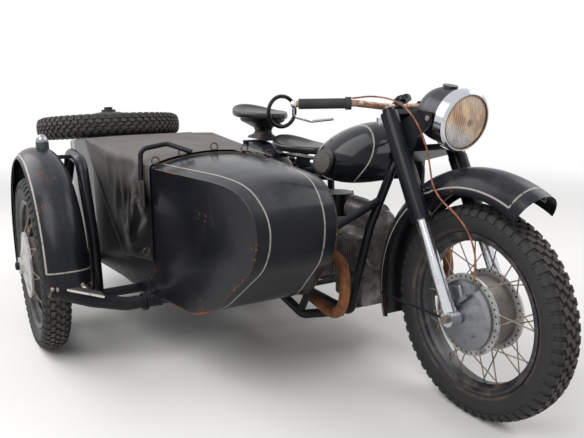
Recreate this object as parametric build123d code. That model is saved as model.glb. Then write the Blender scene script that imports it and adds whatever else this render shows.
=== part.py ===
"""Motorcycle with a sidecar, built piece by piece in millimetres.

The pieces are laid out about the rear axle: X runs forward along the motorcycle, Y to its left and Z up, with the
ground at Z = 0. The sidecar stands on the right, at negative Y. The last function moves all pieces so that the
origin lies on the ground under the middle of the whole vehicle.
"""
import os
from math import cos, radians, sin, tan

from build123d import *

# Wheels and their places
WHEELBASE = 1500
TRACK = 1108
SIDECAR_WHEEL_X = 242
TYRE_RADIUS = 341
TYRE_HALF_WIDTH = 49
RIM_RADIUS = 256
RIM_SEAT_RADIUS = 244
FLANGE_RADIUS = 130
HUB_HALF_WIDTH = 56
AXLE_RADIUS = 10
AXLE_PLAY = 0.3
SPOKE_RADIUS = 2.1
SPOKES_PER_SIDE = 18

# Steering: the fork legs run through the front axle, the steering axis lies behind them
RAKE = 28.9
STEM_OFFSET = 48
LEG_SPREAD = 118
FORK_TOP = 690
BAR_RADIUS = 11

# Mudguards
GUARD_SHEET = 2.5
FRONT_GUARD_RADIUS = 455
FRONT_GUARD_HALF_WIDTH = 80
REAR_GUARD_RADIUS = 415
REAR_GUARD_HALF_WIDTH = 72

# Engine: one cylinder to each side
CYLINDER_X = 925
CYLINDER_Z = 410
CASE_HALF_WIDTH = 104.8
CASE_RADIUS = 104
BARREL_FINS = 9
HEAD_FINS = 5
FIN_PITCH = 10
PORT_Y = 235

# Sidecar body: plan view, given at stations along X by its outer and its inner side
SHEET = 3
BODY_FLOOR = 272
NOSE_X = 1270
COWL_X = 640
TUB_TOP = 798
TUB_EDGE = 750
TAIL_X = -620
PLAN_OUTER = ((NOSE_X, -663), (COWL_X, -776), (100, -850), (-250, -850), (TAIL_X, -800))
PLAN_INNER = ((TAIL_X, -310), (-250, -262), (100, -262), (COWL_X, -275), (NOSE_X, -388))
BODY_MID_Y = -526
BULKHEAD_X = 35

# Trunk lid, which slopes down to the tail, and the spare wheel's stud on it
LID_HINGE = Vector(-20, -556, 803)
LID_SLOPE = 5.9
LID_TOP = -0.6
STUD_ALONG = -350
STUD_SIDE = -94

# Tubular chassis of the sidecar
RAIL_Z = 250
INNER_RAIL_Y = -330
OUTRIGGER_Y = -945

# Middle of the whole vehicle's box on the ground, which becomes the origin
CENTRE_X = 564
CENTRE_Y = -404

FRONT_AXLE = Vector(WHEELBASE, 0, TYRE_RADIUS)
REAR_AXLE = Vector(0, 0, TYRE_RADIUS)
SIDECAR_AXLE = Vector(SIDECAR_WHEEL_X, -TRACK, TYRE_RADIUS)
UP_FORK = Vector(-sin(radians(RAKE)), 0, cos(radians(RAKE)))
AHEAD_OF_FORK = Vector(cos(radians(RAKE)), 0, sin(radians(RAKE)))


def fork_point(along, ahead=0, side=0):
    """Point in the fork's own frame: distance up the legs from the axle, ahead of them, and to the left."""
    return FRONT_AXLE + UP_FORK * along + AHEAD_OF_FORK * ahead + Vector(0, side, 0)


def fork_plane(along, ahead=0, side=0):
    """Plane square to the fork at such a point, with its X to the left and its Y to the rear."""
    return Plane(origin=fork_point(along, ahead, side), x_dir=(0, 1, 0), z_dir=UP_FORK)


def fork_cylinder(radius, low, high, ahead=0, side=0):
    """Round bar along the fork between two heights on the legs."""
    return extrude(fork_plane(low, ahead, side) * Circle(radius), high - low)


def cross_bar(radius, x, z, y_low, y_high):
    """Round bar across the vehicle between two sides."""
    return Pos(x, (y_low + y_high) / 2, z) * Rot(90, 0, 0) * Cylinder(radius, y_high - y_low)


def long_bar(radius, x_low, x_high, y, z):
    """Round bar along the vehicle between two stations."""
    return Pos((x_low + x_high) / 2, y, z) * Rot(0, 90, 0) * Cylinder(radius, x_high - x_low)


def tube(points, radius, bends=60):
    """Round bar through the points, with its corners rounded."""
    if len(points) == 2:
        path = Line(*points)
    else:
        path = FilletPolyline(*points, radius=bends)
    return sweep(Plane(origin=path @ 0, z_dir=path % 0) * Circle(radius), path=path)


def mirrored_pair(shape):
    """The shape and its mirror image on the other side of the motorcycle."""
    return [shape, mirror(shape, about=Plane.XZ)]


def join(pieces):
    """One solid of all pieces."""
    return pieces[0].fuse(*pieces[1:])


def slab(points, y_low, y_high):
    """Plate with an outline in X, Z that reaches from one Y to another."""
    face = make_face(Polyline(*[(x, y_low, z) for x, z in points], close=True))
    return extrude(face, y_high - y_low, dir=(0, 1, 0))


def wheel_ring(outline):
    """Ring turned about the Z axis from an outline of radius, height points."""
    return revolve(make_face(Polyline(*[(r, 0, h) for r, h in outline], close=True)), Axis.Z)


def domed_disc(radius, low, edge, top):
    """Round disc about the Z axis with a flat underside and a domed upper side."""
    rise = top - edge
    ball = (radius * radius + rise * rise) / (2 * rise)
    return Pos(0, 0, (low + top) / 2) * Cylinder(radius, top - low) & Pos(0, 0, top - ball) * Sphere(ball)


# Wheels

def tyre():
    """Tyre with a flat bead, bulging walls and a round crown, lying about the Z axis."""
    seat, half = RIM_SEAT_RADIUS, TYRE_HALF_WIDTH
    shoulder = TYRE_RADIUS - 12
    outline = [
        Line((seat, 0, -34), (seat + 14, 0, -35)),
        ThreePointArc((seat + 14, 0, -35), (seat + 46, 0, -half), (shoulder, 0, -half + 5)),
        ThreePointArc((shoulder, 0, -half + 5), (TYRE_RADIUS, 0, 0), (shoulder, 0, half - 5)),
        ThreePointArc((shoulder, 0, half - 5), (seat + 46, 0, half), (seat + 14, 0, 35)),
        Line((seat + 14, 0, 35), (seat, 0, 34)),
        Line((seat, 0, 34), (seat, 0, -34)),
    ]
    return revolve(make_face(outline), Axis.Z)


def rim():
    """Rolled rim with two flanges and a well between them."""
    seat = RIM_SEAT_RADIUS - 0.3
    inner_face = [(RIM_RADIUS, 36), (RIM_RADIUS, 40), (246, 40), (238, 34), (237, 22), (226, 12)]
    outer_face = [(seat, -36), (241, -21), (230, -9), (230, 9), (241, 21), (seat, 36)]
    return wheel_ring(inner_face + [(r, -h) for r, h in reversed(inner_face)] + outer_face)


def hub():
    """Full-width brake hub: a closed conical side at +Z, an open drum at -Z, two flanges and laced spokes."""
    h = HUB_HALF_WIDTH
    bore = AXLE_RADIUS + AXLE_PLAY
    outline = [
        (bore, -20), (26, -20), (26, 30), (100, 38), (100, -h), (FLANGE_RADIUS, -h), (FLANGE_RADIUS, -h + 8),
        (108, -h + 12), (108, h - 12), (FLANGE_RADIUS, h - 8), (FLANGE_RADIUS, h), (112, h), (60, h + 12),
        (34, h + 16), (34, h + 26), (bore, h + 26),
    ]
    spokes = []
    for side in (-1, 1):
        for k in range(SPOKES_PER_SIDE):
            lean = 17 if k % 2 else -17
            start = 360 * (k + (0.25 if side > 0 else 0)) / SPOKES_PER_SIDE
            foot = Vector(118, 0, side * (h - 4)).rotate(Axis.Z, start)
            head = Vector(224.8, 0, side * 7).rotate(Axis.Z, start + lean)
            base = Plane(origin=foot, z_dir=head - foot)
            spokes.append(extrude(base * RegularPolygon(SPOKE_RADIUS, 6), (head - foot).length))
    return wheel_ring(outline).fuse(*spokes)


def lid_place(along, side=0, above=0):
    """Place on the upper side of the trunk lid, at a distance along it from the hinge, sloping with the lid."""
    return Pos(*LID_HINGE) * Rot(0, -LID_SLOPE, 0) * Pos(along, side, LID_TOP + above)


def wheels(nodes):
    """The three road wheels and the spare, each from the same tyre, rim and hub."""
    shapes = {"tyre": tyre(), "rim": rim(), "hub": hub()}
    places = {
        "front": Pos(*FRONT_AXLE) * Rot(-90, 0, 0),
        "rear": Pos(*REAR_AXLE) * Rot(-90, 0, 0),
        "sidecar": Pos(*SIDECAR_AXLE) * Rot(90, 0, 0),
    }
    for name, place in places.items():
        for kind, shape in shapes.items():
            nodes[name + "_" + kind] = place * shape
    spare = lid_place(STUD_ALONG, STUD_SIDE, HUB_HALF_WIDTH + 0.3)
    nodes["spare_tyre"] = spare * shapes["tyre"]
    nodes["spare_wheel"] = spare * join([shapes["rim"], shapes["hub"]])


# Steering

BAR_MIDDLE = (1130, 0, 962)
BAR_ROUTE = ((1130, -40, 962), (1125, -110, 965), (1108, -215, 978), (1005, -378, 975))
BAR_BENDS = 40
EAR_OUTLINE = ((1175, 905), (1245, 770), (1262, 800), (1290, 875), (1352, 920), (1352, 956), (1290, 962))


def handlebar_tube(radius):
    """The whole handlebar's tube, from one end to the other."""
    left = [(x, -y, z) for x, y, z in reversed(BAR_ROUTE)]
    return tube(left + list(BAR_ROUTE), radius, bends=BAR_BENDS)


def fork_upper(nodes):
    """Both yokes with the stem, the leg shrouds, the headlamp ears, the bar clamps and the damper knob."""
    pieces = []
    for side in (-1, 1):
        y = side * LEG_SPREAD
        pieces.append(fork_cylinder(34, 318, 334, side=y))
        pieces.append(fork_cylinder(32, 330, 520, side=y))
        pieces.append(fork_cylinder(30, 515, FORK_TOP, side=y))
        pieces.append(fork_cylinder(20, FORK_TOP, FORK_TOP + 14, side=y))
        pieces.append(slab(EAR_OUTLINE, min(95 * side, 101 * side), max(95 * side, 101 * side)))
        pieces.append(fork_cylinder(11, FORK_TOP - 2, 722, ahead=-23.8, side=side * 54))
        pieces.append(cross_bar(19, BAR_MIDDLE[0], BAR_MIDDLE[2], side * 54 - 12, side * 54 + 12))
    back = STEM_OFFSET + 28
    outline = Polyline((-LEG_SPREAD, -26), (LEG_SPREAD, -26), (LEG_SPREAD, 26), (26, back), (-26, back),
                       (-LEG_SPREAD, 26), close=True)
    for low, high in ((540, 562), (FORK_TOP - 16, FORK_TOP + 2)):
        pieces.append(extrude(fork_plane(low) * make_face(outline), high - low))
    pieces.append(fork_cylinder(12, 541, FORK_TOP, ahead=-STEM_OFFSET))
    pieces.append(fork_cylinder(10, FORK_TOP, 756, ahead=-STEM_OFFSET))
    knob = extrude(Circle(30) - PolarLocations(35, 6) * Circle(9), 16)
    pieces.append(fork_plane(754, -STEM_OFFSET) * knob)
    nodes["fork_upper"] = join(pieces) - handlebar_tube(BAR_RADIUS + 0.1)


def fork_sliders(nodes):
    """Both polished sliders with their axle eyes, and the axle between them."""
    pieces = []
    for side in (-1, 1):
        y = side * LEG_SPREAD
        pieces.append(fork_cylinder(20.5, 10, 317.5, side=y))
        pieces.append(fork_cylinder(23, 18, 48, side=y))
        pieces.append(cross_bar(25, WHEELBASE, TYRE_RADIUS, y - 20, y + 20))
    pieces.append(cross_bar(AXLE_RADIUS, WHEELBASE, TYRE_RADIUS, -LEG_SPREAD - 30, LEG_SPREAD + 30))
    nodes["fork_sliders"] = join(pieces)


def brake_plate(nodes):
    """Brake plate in the mouth of the front drum, with its cam housing, lever and cable lug."""
    plate = wheel_ring([(10.3, 62), (110, 62), (110, 68), (96, 74), (40, 80), (24, 84), (24, 94.5), (10.3, 94.5)])
    housing = Pos(-34, 66, 76) * Rot(0, 0, 20) * Box(76, 48, 20)
    housing = fillet(housing.edges(), 8)
    cam = Pos(-14, 38, 82) * Cylinder(11, 26)
    lever = Pos(9, 57, 92) * Rot(0, 0, 40) * Box(60, 13, 6)
    cable_lug = Pos(40, 104, 72) * Box(20, 20, 14)
    nodes["brake_plate"] = Pos(*FRONT_AXLE) * Rot(90, 0, 0) * join([plate, housing, cam, lever, cable_lug])


def headlamp(nodes):
    """Headlamp bucket with its wide front ring, its side bolts and the switch on top, and the lens."""
    tilt = radians(12)
    face = Plane(origin=(1400, 0, 924), x_dir=(0, 1, 0), z_dir=(cos(tilt), 0, -sin(tilt)))
    bucket = join([Pos(0, 0, -65) * Cylinder(88, 70), Pos(0, 0, -101) * Sphere(87.5)])
    ring = wheel_ring([(80, -46), (96, -46), (98, -40), (98, -8), (90, 0), (84, 0), (84, -12.3), (80, -12.3)])
    bolts = Pos(0, 0, -66) * Rot(0, 90, 0) * Cylinder(9, 189)
    switch = Pos(0, 82, -100) * Rot(90, 0, 0) * Cylinder(24, 24)
    nodes["headlamp"] = face.location * join([bucket, ring, bolts, switch])
    nodes["headlamp_lens"] = face.location * domed_disc(83.7, -12, -4, 13)


def handlebar(nodes):
    """Handlebar with its grips and twist housings, and the levers that reach in from the bar ends."""
    nodes["handlebar"] = handlebar_tube(BAR_RADIUS)
    clearance = tube(BAR_ROUTE, BAR_RADIUS + 0.1, bends=BAR_BENDS)
    grip = tube([(1093, -239, 977.6), (1009, -372, 975.2)], 17)
    housing = tube([(1102, -225, 977.8), (1091, -242, 977.5)], 21)
    nodes["grips"] = Compound(mirrored_pair(join([grip, housing]) - clearance))
    pivot = Pos(1001, -384, 975) * Sphere(13)
    blade = tube([(999, -386, 968), (987, -380, 934), (990, -310, 915), (1000, -229, 921)], 5, bends=18)
    nodes["control_levers"] = Compound(mirrored_pair(join([pivot, blade]) - clearance))


CABLE_RADIUS = 2.75
CABLE_ROUTE = (
    (1104, -223, 994), (1124, -162, 1001), (1172, -124, 994), (1230, -119, 976), (1286, -121, 946), (1328, -117, 896),
    (1342, -102, 838), (1347, -92, 780), (1361, -91, 726), (1406, -93, 688), (1464, -93, 662), (1518, -92, 622),
    (1549, -90, 568), (1556, -85, 512), (1541, -76, 455.9),
)


def cord(points, radius, largest=0.45):
    """Thin round cord through the points, each bend as wide as its two runs allow."""
    bends = []
    for before, here, after in zip(points, points[1:], points[2:]):
        into, out = Vector(*here) - Vector(*before), Vector(*after) - Vector(*here)
        turn = radians(into.get_angle(out))
        bends.append(largest * min(into.length, out.length) / tan(turn / 2))
    print("cord bends", [round(bend) for bend in bends])
    return tube(points, radius, bends)


def brake_cable(nodes):
    """Front brake's cable from the right grip, round the lamp ear and past the mudguard, to the brake plate."""
    nodes["brake_cable"] = cord(CABLE_ROUTE, CABLE_RADIUS)


def guard(centre, section, core, start, end):
    """Mudguard shell about an axle, between two angles above the forward direction.

    The section is a row of radius, side points that arcs run through, three at a time. The inner face is the same
    row drawn in toward the core point.
    """
    reach = abs(section[0][1] - core[1])

    def row(inset):
        scale = 1 - inset / reach
        return [(core[0] + (r - core[0]) * scale, 0, core[1] + (y - core[1]) * scale) for r, y in section]

    outer, inner = row(0), row(GUARD_SHEET)
    lines = [Line(outer[0], inner[0]), Line(outer[-1], inner[-1])]
    for side in (outer, inner):
        lines += [ThreePointArc(*side[k:k + 3]) for k in range(0, len(side) - 1, 2)]
    shell = revolve(make_face(lines), Axis.Z, revolution_arc=end - start)
    return Pos(*centre) * Rot(90, 0, 0) * Rot(0, 0, start) * shell


def round_guard(centre, radius, half_width, start, end):
    """Half-round mudguard shell."""
    skirt = radius - half_width
    return guard(centre, [(skirt, -half_width), (radius, 0), (skirt, half_width)], (skirt, 0), start, end)


def front_guard(nodes):
    """Deep round mudguard over the front wheel, bolted to the fork shrouds and stayed to the sliders."""
    pieces = [round_guard(FRONT_AXLE, FRONT_GUARD_RADIUS, FRONT_GUARD_HALF_WIDTH, 62, 199)]
    for side in (-1, 1):
        foot = Pos(1318, side * 86.5, 697) * Box(24, 25, 24)
        pieces.append(foot - fork_cylinder(32.1, 380, 450, side=side * LEG_SPREAD))
        pieces.append(Pos(1340, side * 80, 703) * Box(44, 12, 26))
        stay = tube([(1484, side * 95, 328), (1445, side * 85, 312), (1112, side * 83, 300)], 4, bends=60)
        pieces.append(stay - cross_bar(25.1, WHEELBASE, TYRE_RADIUS, side * 102 - 42, side * 102 + 42))
    clip = Pos(1358, -88, 716) * Box(12, 14, 12)
    nodes["front_mudguard"] = join(pieces + [clip]) - cord(CABLE_ROUTE, CABLE_RADIUS + 0.1)


# Motorcycle

FRAME_TUBES = (
    # radius, bend radius, on both sides, points
    (20, 120, False, ((1150, 0, 843), (1020, 0, 806), (760, 0, 705), (470, 0, 662))),
    (13, 60, True, ((740, 10, 668), (600, 100, 655), (95, 128, 655))),
    (12, 40, True, ((470, 112, 330), (110, 129, 650))),
)
CRADLE_RADIUS = 16
CRADLE_ROUTE = ((1134, 18, 834), (1124, 66, 742), (1072, 112, 545), (1020, 125, 330), (985, 125, 190),
                (530, 125, 190), (475, 125, 300), (465, 118, 655))
FRAME_BARS = (
    # radius, X, Z, half length
    (18, 470, 330, 125), (12, 930, 190, 125), (12, 420, 662, 118), (10, 560, 190, 125),
)


def cradle_tube(radius):
    """Left tube of the cradle, from the steering head round under the engine and up to the saddle."""
    return tube(CRADLE_ROUTE, radius, bends=50)


def frame(nodes):
    """Tubular double cradle frame with the steering head and the lugs of the rear suspension."""
    pieces = mirrored_pair(cradle_tube(CRADLE_RADIUS))
    for radius, bend, both, points in FRAME_TUBES:
        shape = tube(points, radius, bend)
        pieces += mirrored_pair(shape) if both else [shape]
    pieces.append(fork_cylinder(27, 566, FORK_TOP - 20, ahead=-STEM_OFFSET))
    pieces += [cross_bar(radius, x, z, -half, half) for radius, x, z, half in FRAME_BARS]
    pieces += mirrored_pair(cross_bar(8, 97, 648, 115, 147.7))
    pieces += mirrored_pair(slab([(545, 190), (575, 190), (572, 155), (548, 155)], 112, 120))
    nodes["frame"] = join(pieces) - fork_cylinder(12.3, 560, FORK_TOP, ahead=-STEM_OFFSET)


def engine(nodes):
    """Crankcase with flat cylinder seats, its front cover, generator and ribbed sump."""
    case = long_bar(CASE_RADIUS, 810, 990, 0, 400)
    seats = Pos(CYLINDER_X, 0, CYLINDER_Z) * Box(124, 2 * CASE_HALF_WIDTH, 124)
    cover_face = make_hull([*(Pos(0, 430) * Circle(88)).edges(), *(Pos(0, 520) * Circle(58)).edges()])
    cover = Pos(988, 0, 0) * extrude(Plane.YZ * cover_face, 24)
    cover = fillet(cover.faces().sort_by(Axis.X)[-1].edges(), 8)
    generator = long_bar(46, 812, 988, 0, 552)
    saddle = Pos(900, 0, 510) * Box(150, 84, 40)
    sump = fillet((Pos(900, 0, 262.2) * Box(178, 160, 120)).edges().filter_by(Axis.X), 22)
    ribs = [Pos(850, y, 200) * Box(120, 5, 14) for y in (-45, -15, 15, 45)]
    nodes["engine"] = join([case, seats, cover, generator, saddle, sump] + ribs)


def gearbox(nodes):
    """Gearbox with its bell housing behind the crankcase, and the drive shaft's coupling."""
    bell = long_bar(102, 768, 809.8, 0, 400)
    box = slab([(800, 300), (800, 505), (700, 510), (596, 470), (590, 320), (640, 290)], -84, 84)
    box = fillet(box.edges().filter_by(Axis.Y), 14)
    coupling = long_bar(34, 556, 600, -62, 372)
    nodes["gearbox"] = join([bell, box, coupling])


def cylinders(nodes):
    """Finned barrels with push-rod tubes, finned heads with their ports, and ribbed rocker covers."""
    base = CASE_HALF_WIDTH + 0.2
    plate = Plane.XZ * Pos(CYLINDER_X, CYLINDER_Z)

    def layer(start, thickness, width, height, corner):
        return Pos(0, -start, 0) * extrude(plate * RectangleRounded(width, height, corner), thickness)

    barrel_start = base + 16
    head_start = barrel_start + FIN_PITCH * BARREL_FINS
    pieces = [layer(base, 9, 116, 116, 20), Pos(0, -base, 0) * extrude(plate * Circle(47), 110)]
    pieces += [layer(barrel_start + FIN_PITCH * k, 3, 124, 124, 30) for k in range(BARREL_FINS)]
    pieces += [cross_bar(8, CYLINDER_X + x, CYLINDER_Z + 54, -head_start - 2, -base - 4) for x in (-19, 19)]
    pieces.append(layer(head_start, 46, 104, 96, 24))
    pieces += [layer(head_start + 1 + FIN_PITCH * k, 3.5, 136, 120, 26) for k in range(HEAD_FINS)]
    for x in (-66, 66):
        pieces.append(long_bar(25, CYLINDER_X + x - 12, CYLINDER_X + x + 12, -PORT_Y, CYLINDER_Z + 30))
    cover = layer(head_start + 46, 34, 128, 92, 40)
    pieces.append(fillet(cover.faces().sort_by(Axis.Y)[0].edges(), 14))
    pieces += [Pos(CYLINDER_X, -head_start - 68, CYLINDER_Z + z) * Box(88, 28, 5) for z in (-24, 0, 24)]
    nodes["cylinders"] = Compound(mirrored_pair(join(pieces)))


def intake(nodes):
    """Air filter over the gearbox, its pipes, and a carburettor with its float bowl behind each head."""
    filter_can = Pos(690, 0, 554.2) * Cylinder(66, 88)
    x, y, z = CYLINDER_X - 78.5, -PORT_Y, CYLINDER_Z + 30
    side = join([
        long_bar(22, x - 52, x, y, z),
        Pos(x - 28, y, z) * Cylinder(17, 74),
        Pos(x - 24, y + 30, z - 34) * Cylinder(22, 40),
        Pos(x - 24, y + 16, z - 20) * Box(20, 30, 14),
        tube([(x - 50, y, z), (742, y, z + 5), (700, -150, 540), (690, -50, 575)], 15, bends=32),
    ])
    nodes["intake"] = join([filter_can] + mirrored_pair(side))


def exhausts(nodes):
    """Header with its union nut, pipe and tapered silencer on each side."""
    port_x, port_z = CYLINDER_X + 78.3, CYLINDER_Z + 30
    route = [(port_x, -PORT_Y, port_z), (1050, -236, 452), (1066, -180, 400), (1047, -166, 262), (960, -176, 222),
             (600, -192, 232), (420, -205, 240)]
    pipe = tube(route, 20, bends=[24, 36, 60, 60, 200]) - long_bar(40, port_x - 40, port_x, -PORT_Y, port_z)
    nut = long_bar(27, port_x, port_x + 13, -PORT_Y, port_z)
    start, finish = Vector(430, -205, 240), Vector(-330, -205, 292)
    length = (finish - start).length
    profile = [(0, 0), (21, 0), (43, 70), (43, length - 130), (26, length), (16, length), (16, length - 60),
               (0, length - 60)]
    silencer = Plane(origin=start, z_dir=finish - start).location * wheel_ring(profile)
    nodes["exhausts"] = Compound(mirrored_pair(join([pipe, nut, silencer])))


TANK_SECTIONS = (
    # X, half width, height of the widest line, top, bottom
    (606, 58, 722, 750, 700),
    (700, 118, 722, 822, 684),
    (850, 155, 728, 884, 676),
    (1000, 146, 740, 904, 690),
    (1125, 84, 762, 876, 716),
)


def tank_block(grow):
    """The tank's teardrop, each section half an ellipse above its widest line and a rounded trough below."""
    sections = []
    for x, half, waist, top, bottom in TANK_SECTIONS:
        plane = Plane(origin=(x, 0, waist), x_dir=(0, 1, 0), z_dir=(1, 0, 0))
        side, depth = half + grow, bottom - waist - grow
        foot = side * 0.55
        lines = [
            EllipticalCenterArc((0, 0), side, top - waist + grow, arc_size=180),
            ThreePointArc((-side, 0), (-side * 0.94, depth * 0.6), (-foot, depth)),
            Line((-foot, depth), (foot, depth)),
            ThreePointArc((foot, depth), (side * 0.94, depth * 0.6), (side, 0)),
        ]
        sections.append(plane * make_face(lines))
    return loft(sections)


def fuel_tank(nodes):
    """Teardrop fuel tank astride the top tube, with its cap and knee pads."""
    body = tank_block(0)
    tunnel = slab([(590, 600), (590, 706), (760, 733), (1020, 834), (1200, 892), (1200, 600)], -27, 27)
    scoop = fork_cylinder(58, 480, 760, ahead=-STEM_OFFSET)
    grooves = mirrored_pair(cradle_tube(CRADLE_RADIUS + 2))
    nodes["fuel_tank"] = body - tunnel - scoop - grooves[0] - grooves[1]
    nodes["filler_cap"] = Pos(1000, 0, 908) * Cylinder(34, 20) - tank_block(0.2)
    pad_outline = Plane.XZ * Pos(815, 745) * Rot(0, 0, 12) * Ellipse(90, 50)
    pads = (tank_block(9) - tank_block(0.3)) & Pos(0, 200, 0) * extrude(pad_outline, 400)
    nodes["knee_pads"] = pads


def saddle_block(rear, front, rear_radius, front_radius, low, high):
    """Pear-shaped saddle cushion between two X, from its rear and front half widths."""
    outline = make_hull([*(Pos(rear + rear_radius, 0) * Circle(rear_radius)).edges(),
                         *(Pos(front - front_radius, 0) * Circle(front_radius)).edges()])
    block = Pos(0, 0, low) * extrude(outline, high - low)
    return fillet(block.faces().sort_by(Axis.Z)[-1].edges(), 16)


def saddles(nodes):
    """Driver's and pillion saddles on their spring brackets, with the grab ring."""
    nodes["driver_saddle"] = saddle_block(240, 562, 133, 48, 728, 775)
    nodes["pillion_saddle"] = saddle_block(-145, 170, 128, 46, 858, 906)
    driver = [Pos(400, 0, 716) * Box(230, 60, 8), Pos(420, 0, 694.2) * Box(40, 50, 40)]
    driver.append(cross_bar(10, 300, 712, -92, 92))
    driver += [Pos(300, y, 718) * Cylinder(22, 19) for y in (-80, 80)]
    pillion = [Pos(15, 0, 853.5) * Box(200, 50, 8), Pos(70, 0, 812) * Box(26, 40, 85)]
    pillion += [Pos(27, 0, 764) * Box(176, 40, 8), Pos(100, 0, 764) * Box(30, 276, 8)]
    pillion += [Pos(-40, 0, z) * Box(42, 170, 8) for z in (764, 853.5)]
    pillion += [Pos(100, y, 716.3) * Box(30, 18, 96) for y in (-127.5, 127.5)]
    pillion += [Pos(-40, y, 809) * Cylinder(19, 86) for y in (-62, 62)]
    nodes["saddle_brackets"] = Compound([join(driver), join(pillion)])
    ring = Pos(225, 0, 905) * Rot(0, 90, 0) * Torus(70, 9)
    nodes["grab_ring"] = join([ring, tube([(225, 0, 837), (170, 0, 847), (115.3, 0, 849.4)], 8, bends=60)])


def rear_end(nodes):
    """Rear mudguard, tail lamp, swinging arm, shock absorbers and final drive."""
    shell = round_guard(REAR_AXLE, REAR_GUARD_RADIUS, REAR_GUARD_HALF_WIDTH, 22, 192)
    tubes = mirrored_pair(tube(FRAME_TUBES[1][3], FRAME_TUBES[1][0] + 0.2))
    hangers = mirrored_pair(cross_bar(7, 124, 668, 70.5, 122))
    nodes["rear_mudguard"] = join([shell] + hangers) - tubes[0] - tubes[1]
    lamp = long_bar(28, 404, 462, 0, 0).fuse(long_bar(24, 460, 474, 0, 0))
    lamp = Pos(*REAR_AXLE) * Rot(0, -148, 0) * lamp
    nodes["tail_lamp"] = lamp - cross_bar(REAR_GUARD_RADIUS + 0.2, 0, TYRE_RADIUS, -80, 80)
    arms = [tube([(470, y, 330), (0, y, TYRE_RADIUS)], 15) for y in (-150, 150)]
    arms.append(cross_bar(AXLE_RADIUS, 0, TYRE_RADIUS, -172, 172))
    arms += mirrored_pair(cross_bar(18, 470, 330, 125.3, 166))
    cradles = mirrored_pair(cradle_tube(CRADLE_RADIUS + 0.2))
    nodes["swing_arms"] = join(arms) - cradles[0] - cradles[1]
    shocks = []
    for side in (-1, 1):
        y = 160 * side
        eye = cross_bar(14, 97, 648, y - 12, y + 12)
        shocks.append(join([tube([(15, y, 361), (97, y, 648)], 11), tube([(38, y, 443), (89, y, 620)], 27), eye]))
    nodes["shock_absorbers"] = Compound(shocks)
    case = wheel_ring([(AXLE_RADIUS + 0.3, 62), (96, 62), (96, 84), (70, 120), (36, 128), (36, 134.5),
                       (AXLE_RADIUS + 0.3, 134.5)])
    nodes["final_drive"] = Pos(*REAR_AXLE) * Rot(90, 0, 0) * case


def foot_controls(nodes):
    """Foot rests, brake pedal on the right, and gear lever and kick-starter on the left."""
    side = 84.2
    rest = cross_bar(9, 690, 315, side, 250).fuse(cross_bar(14, 690, 315, 150, 246))
    brake = tube([(650, -side, 325), (650, -142, 325), (700, -150, 352), (790, -150, 356)], 7, bends=24)
    gear = tube([(650, side, 370), (650, 140, 370), (700, 150, 380), (775, 150, 362)], 6, bends=24)
    kick = tube([(620, side, 430), (620, 150, 430), (602, 160, 480), (560, 168, 566)], 8, bends=24)
    nodes["foot_controls"] = Compound(mirrored_pair(rest) + [brake, gear, kick])


def centre_stand(nodes):
    """Centre stand folded up under the gearbox, pivoted on the frame's lower lugs."""
    legs = [tube([(560, y, 165), (340, y, 128)], 12) for y in (-92, 92)]
    feet = [Pos(338, y, 127) * Box(44, 34, 10) for y in (-92, 92)]
    bars = [cross_bar(12, 560, 165, -111.7, 111.7), cross_bar(9, 420, 142, -92, 92)]
    nodes["centre_stand"] = join(legs + feet + bars)


# Sidecar

def plan_prism(inset, low, high):
    """Upright block with the sidecar body's plan, drawn in by an inset."""
    face = make_face(Polyline(*PLAN_OUTER, *PLAN_INNER, close=True))
    if inset:
        face = offset(face, -inset, kind=Kind.INTERSECTION)
    return Pos(0, 0, low) * extrude(face, high - low)


def side_profile(inset):
    """The body's outline seen from the side: floor, tail, top and the round nose."""
    lines = [
        Polyline((843, 0, BODY_FLOOR), (-500, 0, BODY_FLOOR), (TAIL_X, 0, 390), (TAIL_X + 20, 0, 738),
                 (-20, 0, TUB_TOP), (56, 0, TUB_TOP), (62, 0, TUB_EDGE), (COWL_X, 0, TUB_EDGE),
                 (COWL_X, 0, 796), (990, 0, 792)),
        ThreePointArc((990, 0, 792), (1123, 0, 765.5), (1235.8, 0, 690.2)),
        ThreePointArc((1235.8, 0, 690.2), (1260.4, 0, 653.4), (NOSE_X - 1, 0, 610)),
        ThreePointArc((NOSE_X - 1, 0, 610), (1252.6, 0, 534.7), (1206.3, 0, 473)),
        Line((1206.3, 0, 473), (1072.1, 0, 357.2)),
        ThreePointArc((1072.1, 0, 357.2), (965.2, 0, 294), (843, 0, BODY_FLOOR)),
    ]
    face = make_face(lines)
    if inset:
        face = offset(face, -inset)
    return Pos(0, 200, 0) * extrude(face, 1400, dir=(0, -1, 0))


COWL_ARCHES = (
    # X, half width, height at the edges, height at the crown
    (COWL_X - 20, 252, 747, 789),
    (NOSE_X + 10, 136, 744, 773),
)


def cowl_roof(inset):
    """Tapering arch over the cowl, as a cone whose flanks stand outside the body's sides."""
    rings = []
    for x, half, edge, crown in COWL_ARCHES:
        rise = crown - edge
        radius = (half * half + rise * rise) / (2 * rise)
        ring = Plane(origin=(x, BODY_MID_Y, crown - radius), z_dir=(1, 0, 0))
        rings.append(ring * Circle(radius - inset))
    return loft(rings, ruled=True)


def half_space(start, length):
    """Large block that covers the body from one station along X over a length."""
    return Pos(start + length / 2, BODY_MID_Y, 500) * Box(length, 900, 900)


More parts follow.
